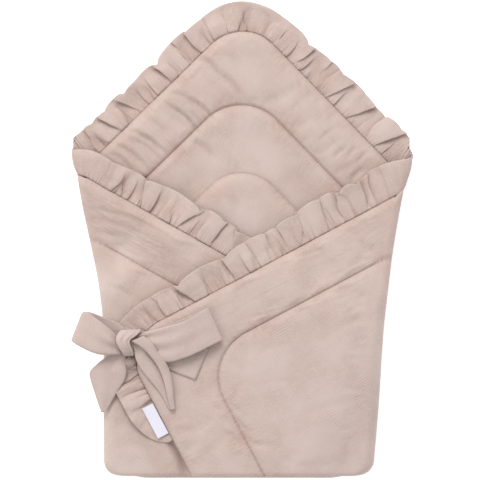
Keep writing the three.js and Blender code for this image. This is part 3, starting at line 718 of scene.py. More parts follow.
def muslin_material(name, crest, crease, drawn_shade_colour, crinkle, grid, grain, pucker, pitch, reach, streaks):
    """Dyed muslin: its colour on crests, with painted shade in creases and a pinker painted shade where
    it is drawn together, its crinkle in millimetres, its puckers and its streaks. Painted shade darkens
    it deep in its folds and in its streaks, and its stitched groove is darker partly as painted shade and
    partly for the thread's own colour."""
    dull = {
        "Roughness": 0.92,
        "Specular IOR Level": 0.22,
        "Sheen Weight": 0.25,
        "Sheen Roughness": 0.6,
        "Sheen Tint": (1.0, 0.93, 0.9, 1),
    }
    material, tree, shader = new_material(name, dull)
    calc = functools.partial(math_node, tree)
    thread = add_node(tree, "ShaderNodeUVMap", uv_map="cloth").outputs[0]
    place = add_node(tree, "ShaderNodeAttribute", attribute_name="stitch").outputs["Vector"]
    # The fold attribute is painted shade deep in folds
    folded = add_node(tree, "ShaderNodeAttribute", attribute_name="fold").outputs["Fac"]
    links = {"Vector": thread, "Crinkle": crinkle, "Grid": grid, "Grain": grain}
    cloth = add_node(tree, "ShaderNodeGroup", links, node_tree=crinkled_muslin).outputs
    links = {"Place": place, "Pitch": pitch, "Reach": reach}
    sewn = add_node(tree, "ShaderNodeGroup", links, node_tree=stitch_puckers).outputs
    # Painted shade in the stitched groove, which is partly the thread's own darker colour, in the fine
    # creases of the streaks, and deep in the folds
    painted_shade_and_mottle = calc("MULTIPLY_ADD", sewn["Line"], 0.35, cloth["Tone"])
    painted_shade_and_mottle = calc("MULTIPLY_ADD", sewn["Streaks"], 0.33, painted_shade_and_mottle)
    painted_shade_and_mottle = calc("MULTIPLY_ADD", folded, 0.75, painted_shade_and_mottle)
    # Crest colour, a pinker painted shade where the cloth is drawn together, and the crease colour of
    # painted shade
    colour = mixed(tree, painted_shade_and_mottle, mixed(tree, sewn["Near"], (*crest, 1), (*drawn_shade_colour, 1)), (*crease, 1))
    height = calc("MULTIPLY_ADD", sewn["Height"], pucker, cloth["Height"])
    height = calc("MULTIPLY_ADD", sewn["Streaks"], -streaks, height)
    bump = add_node(tree, "ShaderNodeBump", {"Strength": 1, "Distance": 0.001, "Height": height})
    tree.links.new(colour, shader.inputs["Base Color"])
    tree.links.new(bump.outputs[0], shader.inputs["Normal"])
    return material


padded_square.data.materials.append(
    muslin_material(
        "dusty pink muslin, padded",
        crest=(0.55, 0.455, 0.414),
        crease=(0.43, 0.312, 0.27),
        drawn_shade_colour=(0.55, 0.42, 0.375),
        crinkle=0.42,
        grid=0.22,
        grain=0.14,
        pucker=0.12,
        pitch=8,
        reach=5,
        streaks=0.5,
    )
)

# Ruffle: one long strip of the same muslin, folded double along its free edge and gathered into the
# seam round the head and both side corners. Pressed flat, it lies in lobes that fold over each other.
# It runs from under the right flap's tip, round the head, to its end inside the left flap.
RUFFLE_THICKNESS = 0.9
RUFFLE_CLEAR = 0.15
FOLD_PEAK = 1.65
LARGE_LAP = 8

RUFFLE_WIDTHS = table(
    "along width",
    [
        (0, 38), (154, 37), (208, 36), (243, 35.5), (297, 37.5), (339, 40), (366, 38),
        (409, 43), (449, 45), (480, 44), (503, 42), (518, 46), (533, 47), (547, 42),
        (562, 35), (586, 35), (607, 45), (640, 42.5), (672, 40), (708, 43), (742, 40),
        (769, 38.5), (797, 38.5), (823, 36), (845, 37.5), (877, 38), (910, 36), (945, 39.5),
        (972, 37.5), (1000, 37), (1028, 36), (1055, 38), (1090, 37), (1118, 38), (1138, 39),
        (1156, 31), (1176, 35), (1219, 37), (1252, 40), (1310, 40.5), (1362, 41),
        (1407, 38), (1560, 34),
    ],
)

# Folds where one lobe lies over the next. Lean is how far the fold's outer end is shifted along the
# ruffle, lap how far it overlaps there, step its rise. Over is 1 where the earlier lobe is on top on
# the flaps and the later one round the head. Root is the share of the fold that reaches the seam. Notch
# is the depth of its cut into the free edge, and notch_at how far along from the root the cut lies. A
# fold with no notch is a short tuck that fades out before the free edge.
RUFFLE_FOLDS = table(
    "along lean lap step over root notch notch_at",
    [
        (62, -2, 2, 0.7, -1, 1, 0, 0), (76, 1, 3, 1.1, 1, 1, 0, 0),
        (92, 0, 4, 1.4, 1, 1, 0, 0), (108, 1, 3, 1.1, -1, 1, 0, 0),
        (152, 2, 3, 1, 1, 0.6, 0, 0), (190, -2, 3, 1, -1, 0.5, 1.5, -2),
        (235, -10, 10, 3.6, -1, 1, 6, -10), (262, -2, 3, 1, 1, 0.9, 0, 0),
        (296, 1, 8, 2.6, -1, 1, 4.5, 1), (318, -1, 3, 1.3, -1, 1, 0, 0),
        (333, -4, 4, 1.2, 1, 0.8, 1.5, -4), (358, 0, 5, 1.3, 1, 1, 1.5, 0),
        (378, -1, 5, 1.4, -1, 0.8, 3, -1), (397, 11, 6, 1.6, 1, 0.9, 1.5, 11),
        (437, 8, 6, 1.4, 1, 0.9, 1.5, 8), (464, 10, 8, 2.4, -1, 0.9, 7.5, 10),
        (497, 2, 8, 2.6, 1, 1, 6, 2), (513, 3, 5, 1.5, 1, 0.9, 1.5, 3),
        (529, 1, 3, 1.2, -1, 0.8, 1.5, 1), (629, -14, 9, 2.9, 1, 0.9, 2.5, -10),
        (648, -4, 4, 1.2, -1, 0.5, 3, -2), (682, -13, 8, 2.4, 1, 1, 1.5, 4),
        (719, -8, 8, 2.4, 1, 0.9, 2.6, 7), (736, -4, 4, 1.2, -1, 0.6, 0.8, -4),
        (752, -4, 4, 1, 1, 0.9, 1.5, -4), (783, -1, 8, 2.3, 1, 0.9, 5, 3),
        (818, -2, 4, 1.3, 1, 1, 0, 0), (836, 0, 4, 1.4, -1, 1, 0, 0),
        (862, 0, 4, 1.3, 1, 1, 0, 0), (884, 1, 3, 1, -1, 1, 0, 0),
        (905, -1, 4, 1.1, 1, 1, 0.8, -1), (927, 1, 6, 1.9, -1, 1, 0.7, 1),
        (946, 2, 4, 1.2, -1, 0.9, 0.7, 2), (985, -1, 8, 2.7, -1, 0.9, 7.5, -3),
        (1009, -1, 5, 1.6, -1, 1, 0, 0), (1042, 9, 9, 3.2, -1, 0.9, 3.4, -2),
        (1078, 5, 9, 3, -1, 0.8, 3.2, -2), (1121, -14, 8, 2.8, -1, 1, 3.6, -22),
        (1205, -4, 4, 1.2, -1, 0.8, 1.5, -4), (1230, -3, 4, 1.3, 1, 1, 0, 0),
        (1254, -3, 6, 1.7, -1, 1, 3, -3), (1272, 2, 5, 1.5, 1, 1, 0, 0),
        (1288, 3, 4, 1.4, -1, 1, 0, 0), (1317, 16, 8, 2.4, 1, 1, 4.5, 16),
        (1348, 4, 4, 1.2, -1, 1, 0, 0), (1368, 0, 8, 2.4, 1, 1, 4.5, 0),
        (1397, -9, 6, 1.8, -1, 1, 1.5, -9),
    ],
)

# Patches of close, even gathers, and two stretches beside the corners that stay smooth
GATHER_COLUMNS = "along reach size"
CLOSE_GATHERS = table(
    GATHER_COLUMNS,
    [
        (96, 20, 1.3), (186, 44, 1), (272, 20, 0.8), (330, 11, 0.8), (450, 12, 0.7),
        (1000, 14, 0.6), (1330, 12, 0.7),
    ],
)
SMOOTH_STRETCHES = table(GATHER_COLUMNS, [(597, 20, 0.9), (1140, 20, 0.9)])


def ruffle_seam():
    """The seam in plan and height, the way out from it, its face and its floor, in the ruffle's order:
    round the right flap, over its fold, round the head, over the left fold and into the left flap."""
    stops = {"seam": [], "out": [], "face": [], "floor": []}

    def add(x, y, z, out, face, floor):
        stops["seam"].append(np.stack([x, y, z], -1))
        stops["out"].append(out)
        stops["face"].append(face)
        stops["floor"].append(np.full(len(x), floor))

    def along_edge(name, line, up, count, start, end):
        v = np.linspace(start, end, count)
        here = line(v)
        way = line(np.minimum(1, v + 0.002)) - line(np.maximum(0, v - 0.002))
        out = np.stack([-way[:, 1], way[:, 0]], -1) / np.linalg.norm(way, axis=-1, keepdims=True)
        z = floor_under(name, here[:, 0], here[:, 1]) + SEAM / 2
        face = np.tile([0, 0, up], (count, 1)).astype(float)
        add(here[:, 0], here[:, 1], z, out, face, {"head": 0, "left": 1, "right": 2}[name])

    def round_fold(name, from_y, to_y, start, end):
        share = np.linspace(0, 1, 26)[1:-1]
        y, angle = from_y + (to_y - from_y) * share, start + (end - start) * share
        side, begin, depth = side_fold(name, y)
        high = floor_under(name, begin, y) + SEAM / 2
        x = begin + side * (depth - SEAM / 2) * np.cos(angle)
        z = SEAM / 2 + (high - SEAM / 2) * (1 + np.sin(angle)) / 2
        face = np.stack([side * np.cos(angle), np.zeros_like(y), np.sin(angle)], -1)
        add(x, y, z, np.tile([0.0, 1.0], (len(y), 1)), face, -1)

    def meets(corner, side):
        y = edge_at_fold(corner, side)
        return float(side_fold(side, y)[1]), y

    under_tip, inside_left = corner_point("right", 148, 0), corner_point("left", 0, 70)
    right_top, left_top = meets("right", "right"), meets("left", "left")
    head_right, head_left = meets("head", "right"), meets("head", "left")
    along_edge("right", edge_line("right", 0, 0, EDGE_ROUNDING, under_tip, right_top), 1, 500, 0, 1)
    round_fold("right", right_top[1], head_right[1], np.pi / 2, -np.pi / 2)
    along_edge("head", edge_line("head", 0, 0, EDGE_ROUNDING, head_left, head_right), -1, 520, 1, 0)
    round_fold("left", head_left[1], left_top[1], -np.pi / 2, np.pi / 2)
    along_edge("left", edge_line("left", 0, 0, EDGE_ROUNDING, left_top, inside_left), 1, 340, 0, 0.77)
    return {key: np.concatenate(value) for key, value in stops.items()}


def ruffle_tucks():
    """Short tucks caught in the seam between the large folds, in the same columns as those."""
    k = np.arange(102)
    tucks = np.zeros(len(k), RUFFLE_FOLDS.dtype)
    tucks["along"] = 82 + 14.1 * k + 4.5 * np.sin(2.3 * k)
    tucks["lean"] = 4.5 * np.sin(4.1 * k)
    tucks["lap"] = 2 + 2.2 * np.sin(1.7 * k) ** 2
    tucks["step"] = 0.5 + 1.2 * np.sin(3.1 * k + 1) ** 2
    tucks["over"] = np.where(np.sin(5.3 * k) > 0, 1, -1)
    large = RUFFLE_FOLDS["along"][RUFFLE_FOLDS["lap"] >= LARGE_LAP]
    crowded = np.abs(tucks["along"][:, None] - np.append(large, 1140)).min(1) < 11
    turning = np.minimum(np.abs(tucks["along"] - 566) / 46, np.abs(tucks["along"] - 1156) / 46) < 1
    return tucks[~(crowded | turning)]


def bells(s, rows):
    """Sum of bells along the ruffle: size times the exponential of less the square of the distance over
    the reach."""
    return sum(size * np.exp(-(((s - at) / reach) ** 2)) for at, reach, size in rows)


def lay_folds(s, v, over_head):
    """What the folds do to each point: a place along the seam that runs back on itself, as t times the
    bell of t, a height that falls from one lobe to the next, as the hyperbolic tangent of t, and painted
    shade beneath the upper lobe. T is the distance from the fold in spreads."""
    place = s + 0 * v
    lift, shade = np.zeros(place.shape), np.zeros(place.shape)
    spread = 2.6 + 2.4 * v
    for fold in np.concatenate([RUFFLE_FOLDS, ruffle_tucks()]):
        at_fold = fold["along"] + fold["lean"] * v**1.2 + 2.4 * np.sin(np.pi * v) * np.sin(fold["along"])
        t = (s - at_fold) / spread
        lap = fold["lap"] * (1.2 if fold["lap"] >= LARGE_LAP else 0.85)
        if fold["notch"] != 0:
            strength = smooth(v, -0.35 + 0.6 * (1 - fold["root"]), 0.5) * (0.4 + 0.6 * v)
        else:
            strength = 0.9 * (1 - smooth(v, 0.4, 0.95)) * smooth(v, -0.12, 0.1)
        place = place - lap * strength * t * FOLD_PEAK * np.exp(-(t**2) / 2)
        fall = fold["over"] * fold["step"] * 1.8 * strength * np.tanh(1.3 * t)
        lift -= fall * np.exp(-np.abs(s - at_fold) / 15)
        # Painted shade on the lower lobe, from the fold to under the upper lobe's edge
        below = -fold["over"] if over_head[0] < fold["along"] < over_head[1] else fold["over"]
        hidden = 0.3 + 0.48 * FOLD_PEAK * lap * strength / spread
        dark = smooth(t * below, -0.6, 0.3) * (1 - smooth(t * below, hidden, hidden + 1.0))
        shade = np.maximum(shade, dark * strength * min(1, fold["step"] / 2.8))
    return place, lift, shade


def gather_height(s, v):
    """Height of the cloth between the folds: gathers with sharp valleys that fade out from the seam,
    patches of closer ones, soft waves towards the free edge, and a fine crumple."""
    wander = 1.6 * np.sin(s / 19) + 1.2 * np.sin(s / 7.3 + 2)
    wide = 0.9 * np.abs(np.sin(np.pi * s / 9.3 + wander))
    gathers = wide + 0.5 * np.abs(np.sin(np.pi * s / 5.7 + 2 * wander))
    loose = 1 - bells(s, SMOOTH_STRETCHES)
    patchy = loose * (0.45 + 0.55 * np.sin(s / 23 + 1) ** 2 + 0.35 * np.sin(s / 61))
    fading = 2.2 + 2.6 * np.sin(s / 11 + 0.6) ** 2
    height = 2.3 * (gathers - 0.6) * patchy * np.exp(-fading * v) * smooth(v, -0.1, 0.09)
    even = np.abs(np.sin(np.pi * s / 5.2 + wander)) - 0.6
    height += 1.1 * even * bells(s, CLOSE_GATHERS) * smooth(v, -0.1, 0.1) * (1 - 0.5 * v)
    height += np.sin(2 * np.pi * (s - 4 * v) / 21 + 1.7 * np.sin(s / 37)) * v
    height += 0.5 * np.sin(2 * np.pi * v * 1.2 + s / 26) * np.sin(s / 13 + 3 * v) * v
    crumple = np.sin(s / 2.9 + 2.7 * np.sin(4 * v + s / 17)) * np.sin(7 * v + s / 9)
    return height + 0.45 * crumple * loose * smooth(v, 0, 0.3) * (0.5 + 0.5 * np.sin(s / 47 + 1))


def ruffle_grid(columns, rows):
    """Points of the ruffle, along it and out from the seam, with their length, their way out and their
    painted shade. Between strong folds the lobes swell as the sine, their free edge is scalloped, and
    each large fold cuts a notch in it. Over the side folds it stands out plain and round."""
    stops = ruffle_seam()
    run = np.append(0, np.cumsum(np.linalg.norm(np.diff(stops["seam"], axis=0), axis=-1)))
    total = run[-1]
    s, v = np.linspace(0, total, columns)[:, None], np.linspace(0, 1, rows)[None]
    over_head = run[np.flatnonzero(stops["floor"] == 0)[[0, -1]]]
    round_fold = run[stops["floor"] < 0]
    corner = bells(s, [(round_fold[0] + 29, 36, 1), (round_fold[-1] - 12, 32, 1)])
    place, lift, shade = lay_folds(s, v, over_head)
    place = s + (place - s) * (1 - 0.95 * corner)
    shade = shade * (1 - corner)

    strong = RUFFLE_FOLDS[RUFFLE_FOLDS["lap"] >= 6]
    lean = np.interp(s, strong["along"], strong["lean"]) * v**1.2
    swell = np.abs(np.sin(np.pi * np.interp(s - lean, strong["along"], np.arange(len(strong)))))
    open_run = smooth(s, 100, 170)
    lift += 2.6 * (swell - 0.5) * v**0.8 * (0.3 + 0.7 * open_run) + gather_height(s, v)
    puff = 3.2 * np.sin(np.pi * np.clip(v, 0, 1)) ** 0.6 + 2.2 * v
    lift = lift * (1 - 0.92 * corner) + puff * corner

    end = np.minimum(s, total - s)
    taper = np.sqrt(1 - (1 - np.clip(end / 62, 0.02, 1)) ** 2)
    notch = sum(
        fold["notch"] * np.exp(-np.abs(place[:, -1:] - fold["along"] - fold["notch_at"]) / 5)
        for fold in RUFFLE_FOLDS
    )
    scallop = 3.2 * (swell[:, -1:] ** 0.7 - 0.6) + 0.8 * np.sin(s / 9.7)
    width = read_table(RUFFLE_WIDTHS, "along", "width", s) * taper - notch * (taper > 0.8)
    width += scallop * taper * open_run * (1 - 0.6 * corner)

    def along_seam(key, where):
        return np.stack([np.interp(where, run, column) for column in stops[key].T], -1)

    place = np.clip(place, 0, total)
    out = sum(along_seam("out", np.clip(place + reach, 0, total)) for reach in np.linspace(-26, 26, 9))
    out /= np.linalg.norm(out, axis=-1, keepdims=True)
    seam, square, face = (along_seam(key, place) for key in ("seam", "out", "face"))
    face /= np.linalg.norm(face, axis=-1, keepdims=True)
    plan = seam[..., :2] + square * RUFFLE_CLEAR + out * (v * width)[..., None]
    floor = np.interp(place, run, stops["floor"])
    x, y = plan[..., 0], plan[..., 1]
    rest = np.where(floor > 1.5, floor_under("right", x, y), floor_under("left", x, y))
    rest = np.where(floor < 0.5, 0, rest)
    amount = smooth(end, 0, 60)
    lying = rest + 3.2 * amount + 2.5 * amount * (floor > 0.5)
    level = seam[..., 2] * (1 - v) + lying * v + 2.4 * open_run * np.exp(-v / 0.3) * (floor > -0.5)
    right_fold, left_fold = round_fold[[0, 23]], round_fold[[24, -1]]
    apart = [np.maximum(np.maximum(start - s, s - stop), 0) for start, stop in (right_fold, left_fold)]
    off_fold = smooth(np.minimum(*apart), 0, 24)
    z = seam[..., 2] * (1 - off_fold) + level * off_fold
    points = np.dstack([plan, z]) + face * (lift * amount)[..., None]
    clear = RUFFLE_THICKNESS / 2 + 0.2
    onto_head = np.minimum(s - over_head[0], over_head[1] - s)
    step_up = 2.2 * smooth(onto_head, -2, 5) * (1 - smooth(onto_head, 20, 44)) * smooth(v, 0, 0.3)
    lowest = np.maximum((rest + clear) * v * off_fold, clear + step_up)
    points[..., 2] = np.maximum(points[..., 2], lowest)
    return points, s + 0 * v, v * width, shade


def even_sheet(middle, thickness):
    """Upper and lower grids of a sheet about its middle, half the thickness out along its normals."""
    down, along = np.gradient(middle, axis=0), np.gradient(middle, axis=1)
    normal = np.cross(down, along)
    normal /= np.maximum(np.linalg.norm(normal, axis=-1, keepdims=True), 1e-9)
    return middle + normal * thickness / 2, middle - normal * thickness / 2


def sheet_part(middle, thickness, length, across, sewn=False, shade=None):
    """A thin closed sheet with its UVs, its length along the cloth first. Where it is sewn, puckers run
    along its first edge. Shade is painted shade in its colour, 1 deep in its folds."""
    away = across + (1 if sewn else 50)
    shade = 0 * away if shade is None else shade
    uv, stitch = np.dstack([length, across]), np.dstack([length, away, 0 * away])
    return cloth_sheet(*even_sheet(middle, thickness), uv, stitch, shade)


ruffle_points, ruffle_length, ruffle_across, ruffle_shade = ruffle_grid(1500, 19)
ruffle = cloth_mesh(
    "gathered_ruffle",
    [sheet_part(ruffle_points, RUFFLE_THICKNESS, ruffle_length * 1.4, ruffle_across, True, ruffle_shade)],
)
ruffle.data.materials.append(
    muslin_material(
        "dusty pink muslin, gathered",
        crest=(0.56, 0.458, 0.416),
        crease=(0.40, 0.29, 0.25),
        drawn_shade_colour=(0.55, 0.412, 0.367),
        crinkle=0.62,
        grid=0.05,
        grain=0.18,
        pucker=0.3,
        pitch=4.6,
        reach=10,
        streaks=0.5,
    )
)
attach(ruffle, "root")
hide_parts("ruffle")

# Right tie: a strip of doubled muslin sewn into the right flap's edge by its square root. It is tied
# with the left one, so it makes the right loop, the band and bunch of the knot, and the front tail,
# whose long edge is turned over. Each table row is a place along the cloth with its two edges, the
# rise of its middle, and the depth of the soft folds that run along it.
TIE_THICKNESS = 1.4
TIE_WIDTH = 46
TIE_COLUMNS = [
    ("left", float, 3),
    ("right", float, 3),
    ("crown", float),
    ("folds", float),
]

RIGHT_ROOT = np.array(
    [
        ((-61, -185, 47), (-43.5, -142.5, 47.1), 0, 0),
        ((-93, -172, 47.3), (-82, -128.5, 47.3), 0, 0.2),
        ((-124, -156, 47.2), (-119, -123, 47.2), 0.5, 0.5),
        ((-142, -142, 48.5), (-139, -123, 48.5), 0, 0.6),
    ],
    dtype=TIE_COLUMNS,
)

RIGHT_LOOP = np.array(
    [
        ((-141, -141, 50.4), (-141, -124, 50.4), 0, 0.5),
        ((-122, -148, 49.8), (-124, -119, 49.8), 0, 0.4),
        ((-84, -147, 49.9), (-76, -103.5, 49.9), 0, 0.1),
        ((-33, -135, 50.2), (-50, -91, 50.2), 0, 0),
        ((-25.5, -132, 53.4), (-44.7, -88.5, 53.4), 0, 0),
        ((-29, -133.5, 56.8), (-47.5, -90, 56.8), 0, 0.1),
        ((-74.5, -155, 59), (-74.5, -105.5, 60.5), 1, 0.5),
        ((-101, -160.5, 56), (-103, -114.5, 58.5), 2, 1.6),
        ((-120, -151, 53.5), (-121, -119.5, 56.5), 2, 2.2),
        ((-139, -142, 52), (-139, -126, 53), 0.5, 1.2),
    ],
    dtype=TIE_COLUMNS,
)

KNOT_BAND = np.array(
    [
        ((-157, -119, 47), (-136, -118, 47), 0, 0),
        ((-160, -119.5, 54), (-133, -118.5, 55.5), 1, 0.8),
        ((-165, -126, 59.5), (-137.5, -124, 62), 1, 1.1),
        ((-165.5, -133, 61.5), (-147.5, -132.5, 64), 1, 1.1),
        ((-162, -141, 61), (-146.5, -139.5, 63.5), 1, 0.9),
        ((-157.5, -148, 57.5), (-143, -147.5, 59), 0.5, 0.5),
        ((-154, -152.5, 50), (-143.5, -152, 50), 0, 0),
    ],
    dtype=TIE_COLUMNS,
)
BUNCHES = np.array(
    [
        ((-149, -134, 49.5), (11.6, 13.4, 7.5)),
        ((-114, -136.5, 53.2), (9, 12, 6)),
        ((-147.5, -161, 41.5), (8, 7, 5)),
    ],
    dtype=[("centre", float, 3), ("radii", float, 3)],
)

TAIL_PANEL = np.array(
    [
        ((-146, -134, 55), (-131, -129, 55), 1, 0.8),
        ((-142.3, -145, 53.5), (-121, -137.5, 53), 1.5, 0.9),
        ((-139.5, -158, 51), (-113.5, -149, 50.8), 2, 0.7),
        ((-131.3, -172.5, 48.8), (-103, -162.5, 49.2), 2, 0.5),
        ((-119.3, -187.5, 48.2), (-96.5, -178, 48.5), 1.5, 0.4),
        ((-107.3, -202.5, 47.8), (-93.5, -194, 48), 1, 0.3),
        ((-99.5, -216, 47.6), (-92, -211, 47.7), 0.5, 0.1),
        ((-95.4, -224.5, 47.6), (-90.3, -223.5, 47.6), 0, 0),
    ],
    dtype=TIE_COLUMNS,
)

TAIL_EDGE = np.array(
    [
        ((-146, -133, 60.5), (-131, -126.5, 61.5), 1, 0),
        ((-134, -139.5, 61.5), (-119.8, -135, 61.5), 1.4, 0),
        ((-120.5, -152.5, 59.5), (-112, -148.5, 59.5), 1.4, 0),
        ((-110.5, -166.5, 57), (-101.8, -162, 57), 1.2, 0),
        ((-103.5, -182.5, 55), (-95.6, -178, 55), 1, 0),
        ((-100, -197, 53.6), (-92.6, -194, 53.6), 0.8, 0),
        ((-96.3, -213, 52.4), (-91.5, -211, 52.4), 0.5, 0),
        ((-93.5, -224, 51.3), (-90, -223.5, 51.3), 0, 0),
    ],
    dtype=TIE_COLUMNS,
)


def smooth_path(points, steps):
    """Points on a curve through all the given ones: cubics whose slopes weigh the neighbours by the
    square roots of their distances, so that it doesn't overshoot."""
    ends = np.concatenate([2 * points[:1] - points[1:2], points, 2 * points[-1:] - points[-2:-1]])
    gap = np.sqrt(np.linalg.norm(np.diff(ends, axis=0), axis=-1, keepdims=True))
    d0, d1, d2 = gap[:-2], gap[1:-1], gap[2:]
    a, b, c, d = ends[:-3], ends[1:-2], ends[2:-1], ends[3:]
    out = ((b - a) / d0 - (c - a) / (d0 + d1) + (c - b) / d1) * d1
    into = ((c - b) / d1 - (d - b) / (d1 + d2) + (d - c) / d2) * d1
    t = (np.arange(steps) / steps)[None, :, None]
    b, c, out, into = (part[:, None] for part in (b, c, out, into))
    curve = (2 * t**3 - 3 * t**2 + 1) * b + (t**3 - 2 * t**2 + t) * out
    curve = curve + (3 * t**2 - 2 * t**3) * c + (t**3 - t**2) * into
    return np.concatenate([curve.reshape(-1, 3), points[-1:]])


def tie_grid(rows, steps, columns, waves=2.5, phase=0.6):
    """Points over a length of tie: smooth edges, straight across but for a crown of 4 u (1 - u) and
    cosine folds that die out at the edges."""
    left, right = smooth_path(rows["left"], steps), smooth_path(rows["right"], steps)
    t = np.linspace(0, len(rows) - 1, len(left))
    crown = np.interp(t, np.arange(len(rows)), rows["crown"])[:, None]
    folds = np.interp(t, np.arange(len(rows)), rows["folds"])[:, None]
    u = np.linspace(0, 1, columns)[None]
    grid = left[:, None] * (1 - u[..., None]) + right[:, None] * u[..., None]
    hill = 4 * u * (1 - u)
    drift = phase + 0.35 * t[:, None]
    grid[..., 2] += crown * hill + folds * hill**0.5 * np.cos(2 * np.pi * waves * u + drift)
    hop = np.linalg.norm(np.diff((left + right) / 2, axis=0), axis=-1)
    length = np.concatenate([[0], np.cumsum(hop)])[:, None] + 0 * u
    return grid, length, u * TIE_WIDTH + 0 * length


def tie_part(rows, steps, columns, **look):
    """A length of tie as a thin closed sheet."""
    grid, length, across = tie_grid(rows, steps, columns, **look)
    return sheet_part(grid, TIE_THICKNESS, length, across)


def turned_tail():
    """The front tail: its panel, and past a narrow round fold the edge that lies back over it."""
    panel, length, across = tie_grid(TAIL_PANEL, 8, 13, waves=1.5)
    edge = tie_grid(TAIL_EDGE, 8, 8)[0][:, ::-1]
    outward = panel[:, -1] - panel[:, 0]
    outward[:, 2] = 0
    outward /= np.linalg.norm(outward, axis=-1, keepdims=True)
    angle = np.array([-0.9, 0, 0.9])[None, :, None]
    middle = (panel[:, -1] + edge[:, 0])[:, None] / 2
    half = (edge[:, 0] - panel[:, -1])[:, None] / 2
    turn = middle + half * np.sin(angle) + outward[:, None] * 2.2 * np.cos(angle)
    grid = np.concatenate([panel, turn, edge], 1)
    reach = np.linspace(0, TIE_WIDTH, grid.shape[1])[None]
    return sheet_part(grid, TIE_THICKNESS, length[:, :1] + 0 * reach, reach + 0 * length[:, :1])


def bunch_part(centre, radii):
    """Gathered cloth in and beside the knot: an ellipsoid with low waves round it."""
    turn, rise = np.linspace(0, 2 * np.pi, 97)[:, None], np.linspace(-np.pi / 2, np.pi / 2, 40)[None]
    wave = 1 + (0.05 * np.cos(7 * turn + 3 * rise) + 0.04 * np.sin(4 * turn)) * np.cos(rise)
    unit = np.dstack([np.cos(turn) * np.cos(rise), np.sin(turn) * np.cos(rise), np.sin(rise) + 0 * turn])
    grid = np.array(centre) + unit * wave[..., None] * np.array(radii)
    rows, columns = grid.shape[0] - 1, grid.shape[1]
    ring = grid[:-1, 1:-1]
    inner = columns - 2
    points = np.concatenate([ring.reshape(-1, 3), grid[:1, 0], grid[:1, -1]])
    i, j = np.meshgrid(np.arange(rows), np.arange(inner - 1), indexing="ij")
    a, b = (i * inner + j).ravel(), ((i + 1) % rows * inner + j).ravel()
    belt = np.stack([a, b, b + 1, a + 1], -1)
    start = np.arange(0, rows, 2) * inner
    middle, end = start + inner, (start + 2 * inner) % (rows * inner)
    low, high = np.full(len(start), rows * inner), np.full(len(start), rows * inner + 1)
    caps = [
        np.stack([low, end, middle, start], -1),
        np.stack([high, start + inner - 1, middle + inner - 1, end + inner - 1], -1),
    ]
    uv = np.stack([points[:, 0], points[:, 1]], -1)
    return {
        "points": points,
        "quads": np.concatenate([belt, *caps]),
        "uv": uv,
        "stitch": np.column_stack([uv, np.zeros(len(uv))]) + 50,
        "fold": np.zeros(len(uv)),
    }


tie_muslin = muslin_material(
    "dusty pink muslin, doubled tie",
    crest=(0.527, 0.424, 0.381),
    crease=(0.385, 0.29, 0.258),
    drawn_shade_colour=(0.527, 0.424, 0.381),
    crinkle=0.42,
    grid=0.03,
    grain=0.12,
    pucker=0,
    pitch=5,
    reach=3,
    streaks=0,
)
right_tie = cloth_mesh(
    "right_tie",
    [
        tie_part(RIGHT_ROOT, 8, 15),
        tie_part(RIGHT_LOOP, 8, 21, waves=2.2, phase=2.4),
        tie_part(KNOT_BAND, 8, 19, waves=2.2, phase=2.5),
        turned_tail(),
        *(bunch_part(row["centre"], row["radii"]) for row in BUNCHES),
    ],
)
right_tie.data.materials.append(tie_muslin)
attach(right_tie, "root")
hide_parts("tie_right")

# Left tie: the same strip from the other side. It shows its tail below the knot, goes under it, and
# comes out as the left loop, whose front lies a little lower than its back.
LEFT_TIE = np.array(
    [
        ((-186, -227.5, 36.6), (-182, -227.7, 36.6), 0, 0),
        ((-190.5, -214.5, 36.9), (-174.5, -217.5, 37.2), 1, 0.2),
        ((-195.5, -199, 37.5), (-164.5, -200, 40.9), 2, 0.4),
        ((-200, -184, 38.3), (-154.5, -184, 41.4), 3, 0.6),
        ((-201, -174.5, 39), (-152.3, -173, 41.8), 3, 0.8),
        ((-190.5, -163, 40.5), (-153.5, -161.5, 42), 2, 0.9),
        ((-177, -152.5, 42), (-153, -152, 42.2), 0.5, 0.7),
        ((-166.5, -143.5, 42.3), (-151.5, -141, 42.3), 0, 0.3),
        ((-161.5, -137, 42.8), (-155, -116, 43), 0, 0.3),
        ((-188, -146, 42.2), (-184, -101, 42.2), -1, 0.3),
        ((-217, -137, 42.6), (-204, -94.5, 42.6), 0, 0),
        ((-225, -131.5, 46.5), (-211.5, -97, 46.5), 0, 0),
        ((-221, -136, 51), (-206.5, -94, 51), 0, 0.2),
        ((-192, -149.5, 56), (-188.5, -105.5, 57), 2.5, 0.8),
        ((-175, -151, 54.5), (-173, -118, 56), 3, 1.9),
        ((-160, -150, 50.5), (-162, -129, 52), 1.5, 1.6),
    ],
    dtype=TIE_COLUMNS,
)

left_tie = cloth_mesh("left_tie", [tie_part(LEFT_TIE, 8, 19, waves=1.8, phase=1.2)])
left_tie.data.materials.append(tie_muslin)
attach(left_tie, "root")
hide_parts("tie_left")

# Label: a short piece of white woven tape, sewn in by one long side at the right flap's lower edge and
# lying on the end of the ruffle. It is left blank.
LABEL = {"length": 45, "width": 16, "thickness": 0.5, "from_tip": 92, "height": 39.5}


def label_sheet():
    """The label, its free side and ends lifting a little."""
    i, j = np.linspace(0, 1, 41)[:, None], np.linspace(0, 1, 17)[None]
    length, across = i * LABEL["length"] + 0 * j, j * LABEL["width"] + 0 * i
    plan = corner_point("right", LABEL["from_tip"] + length, -0.8 - across)
    curl = 0.35 * j**2 * np.cos(2 * np.pi * i) + 0.12 * np.sin(9 * i + 3 * j)
    return sheet_part(np.dstack([plan, LABEL["height"] + curl]), LABEL["thickness"], length, across)


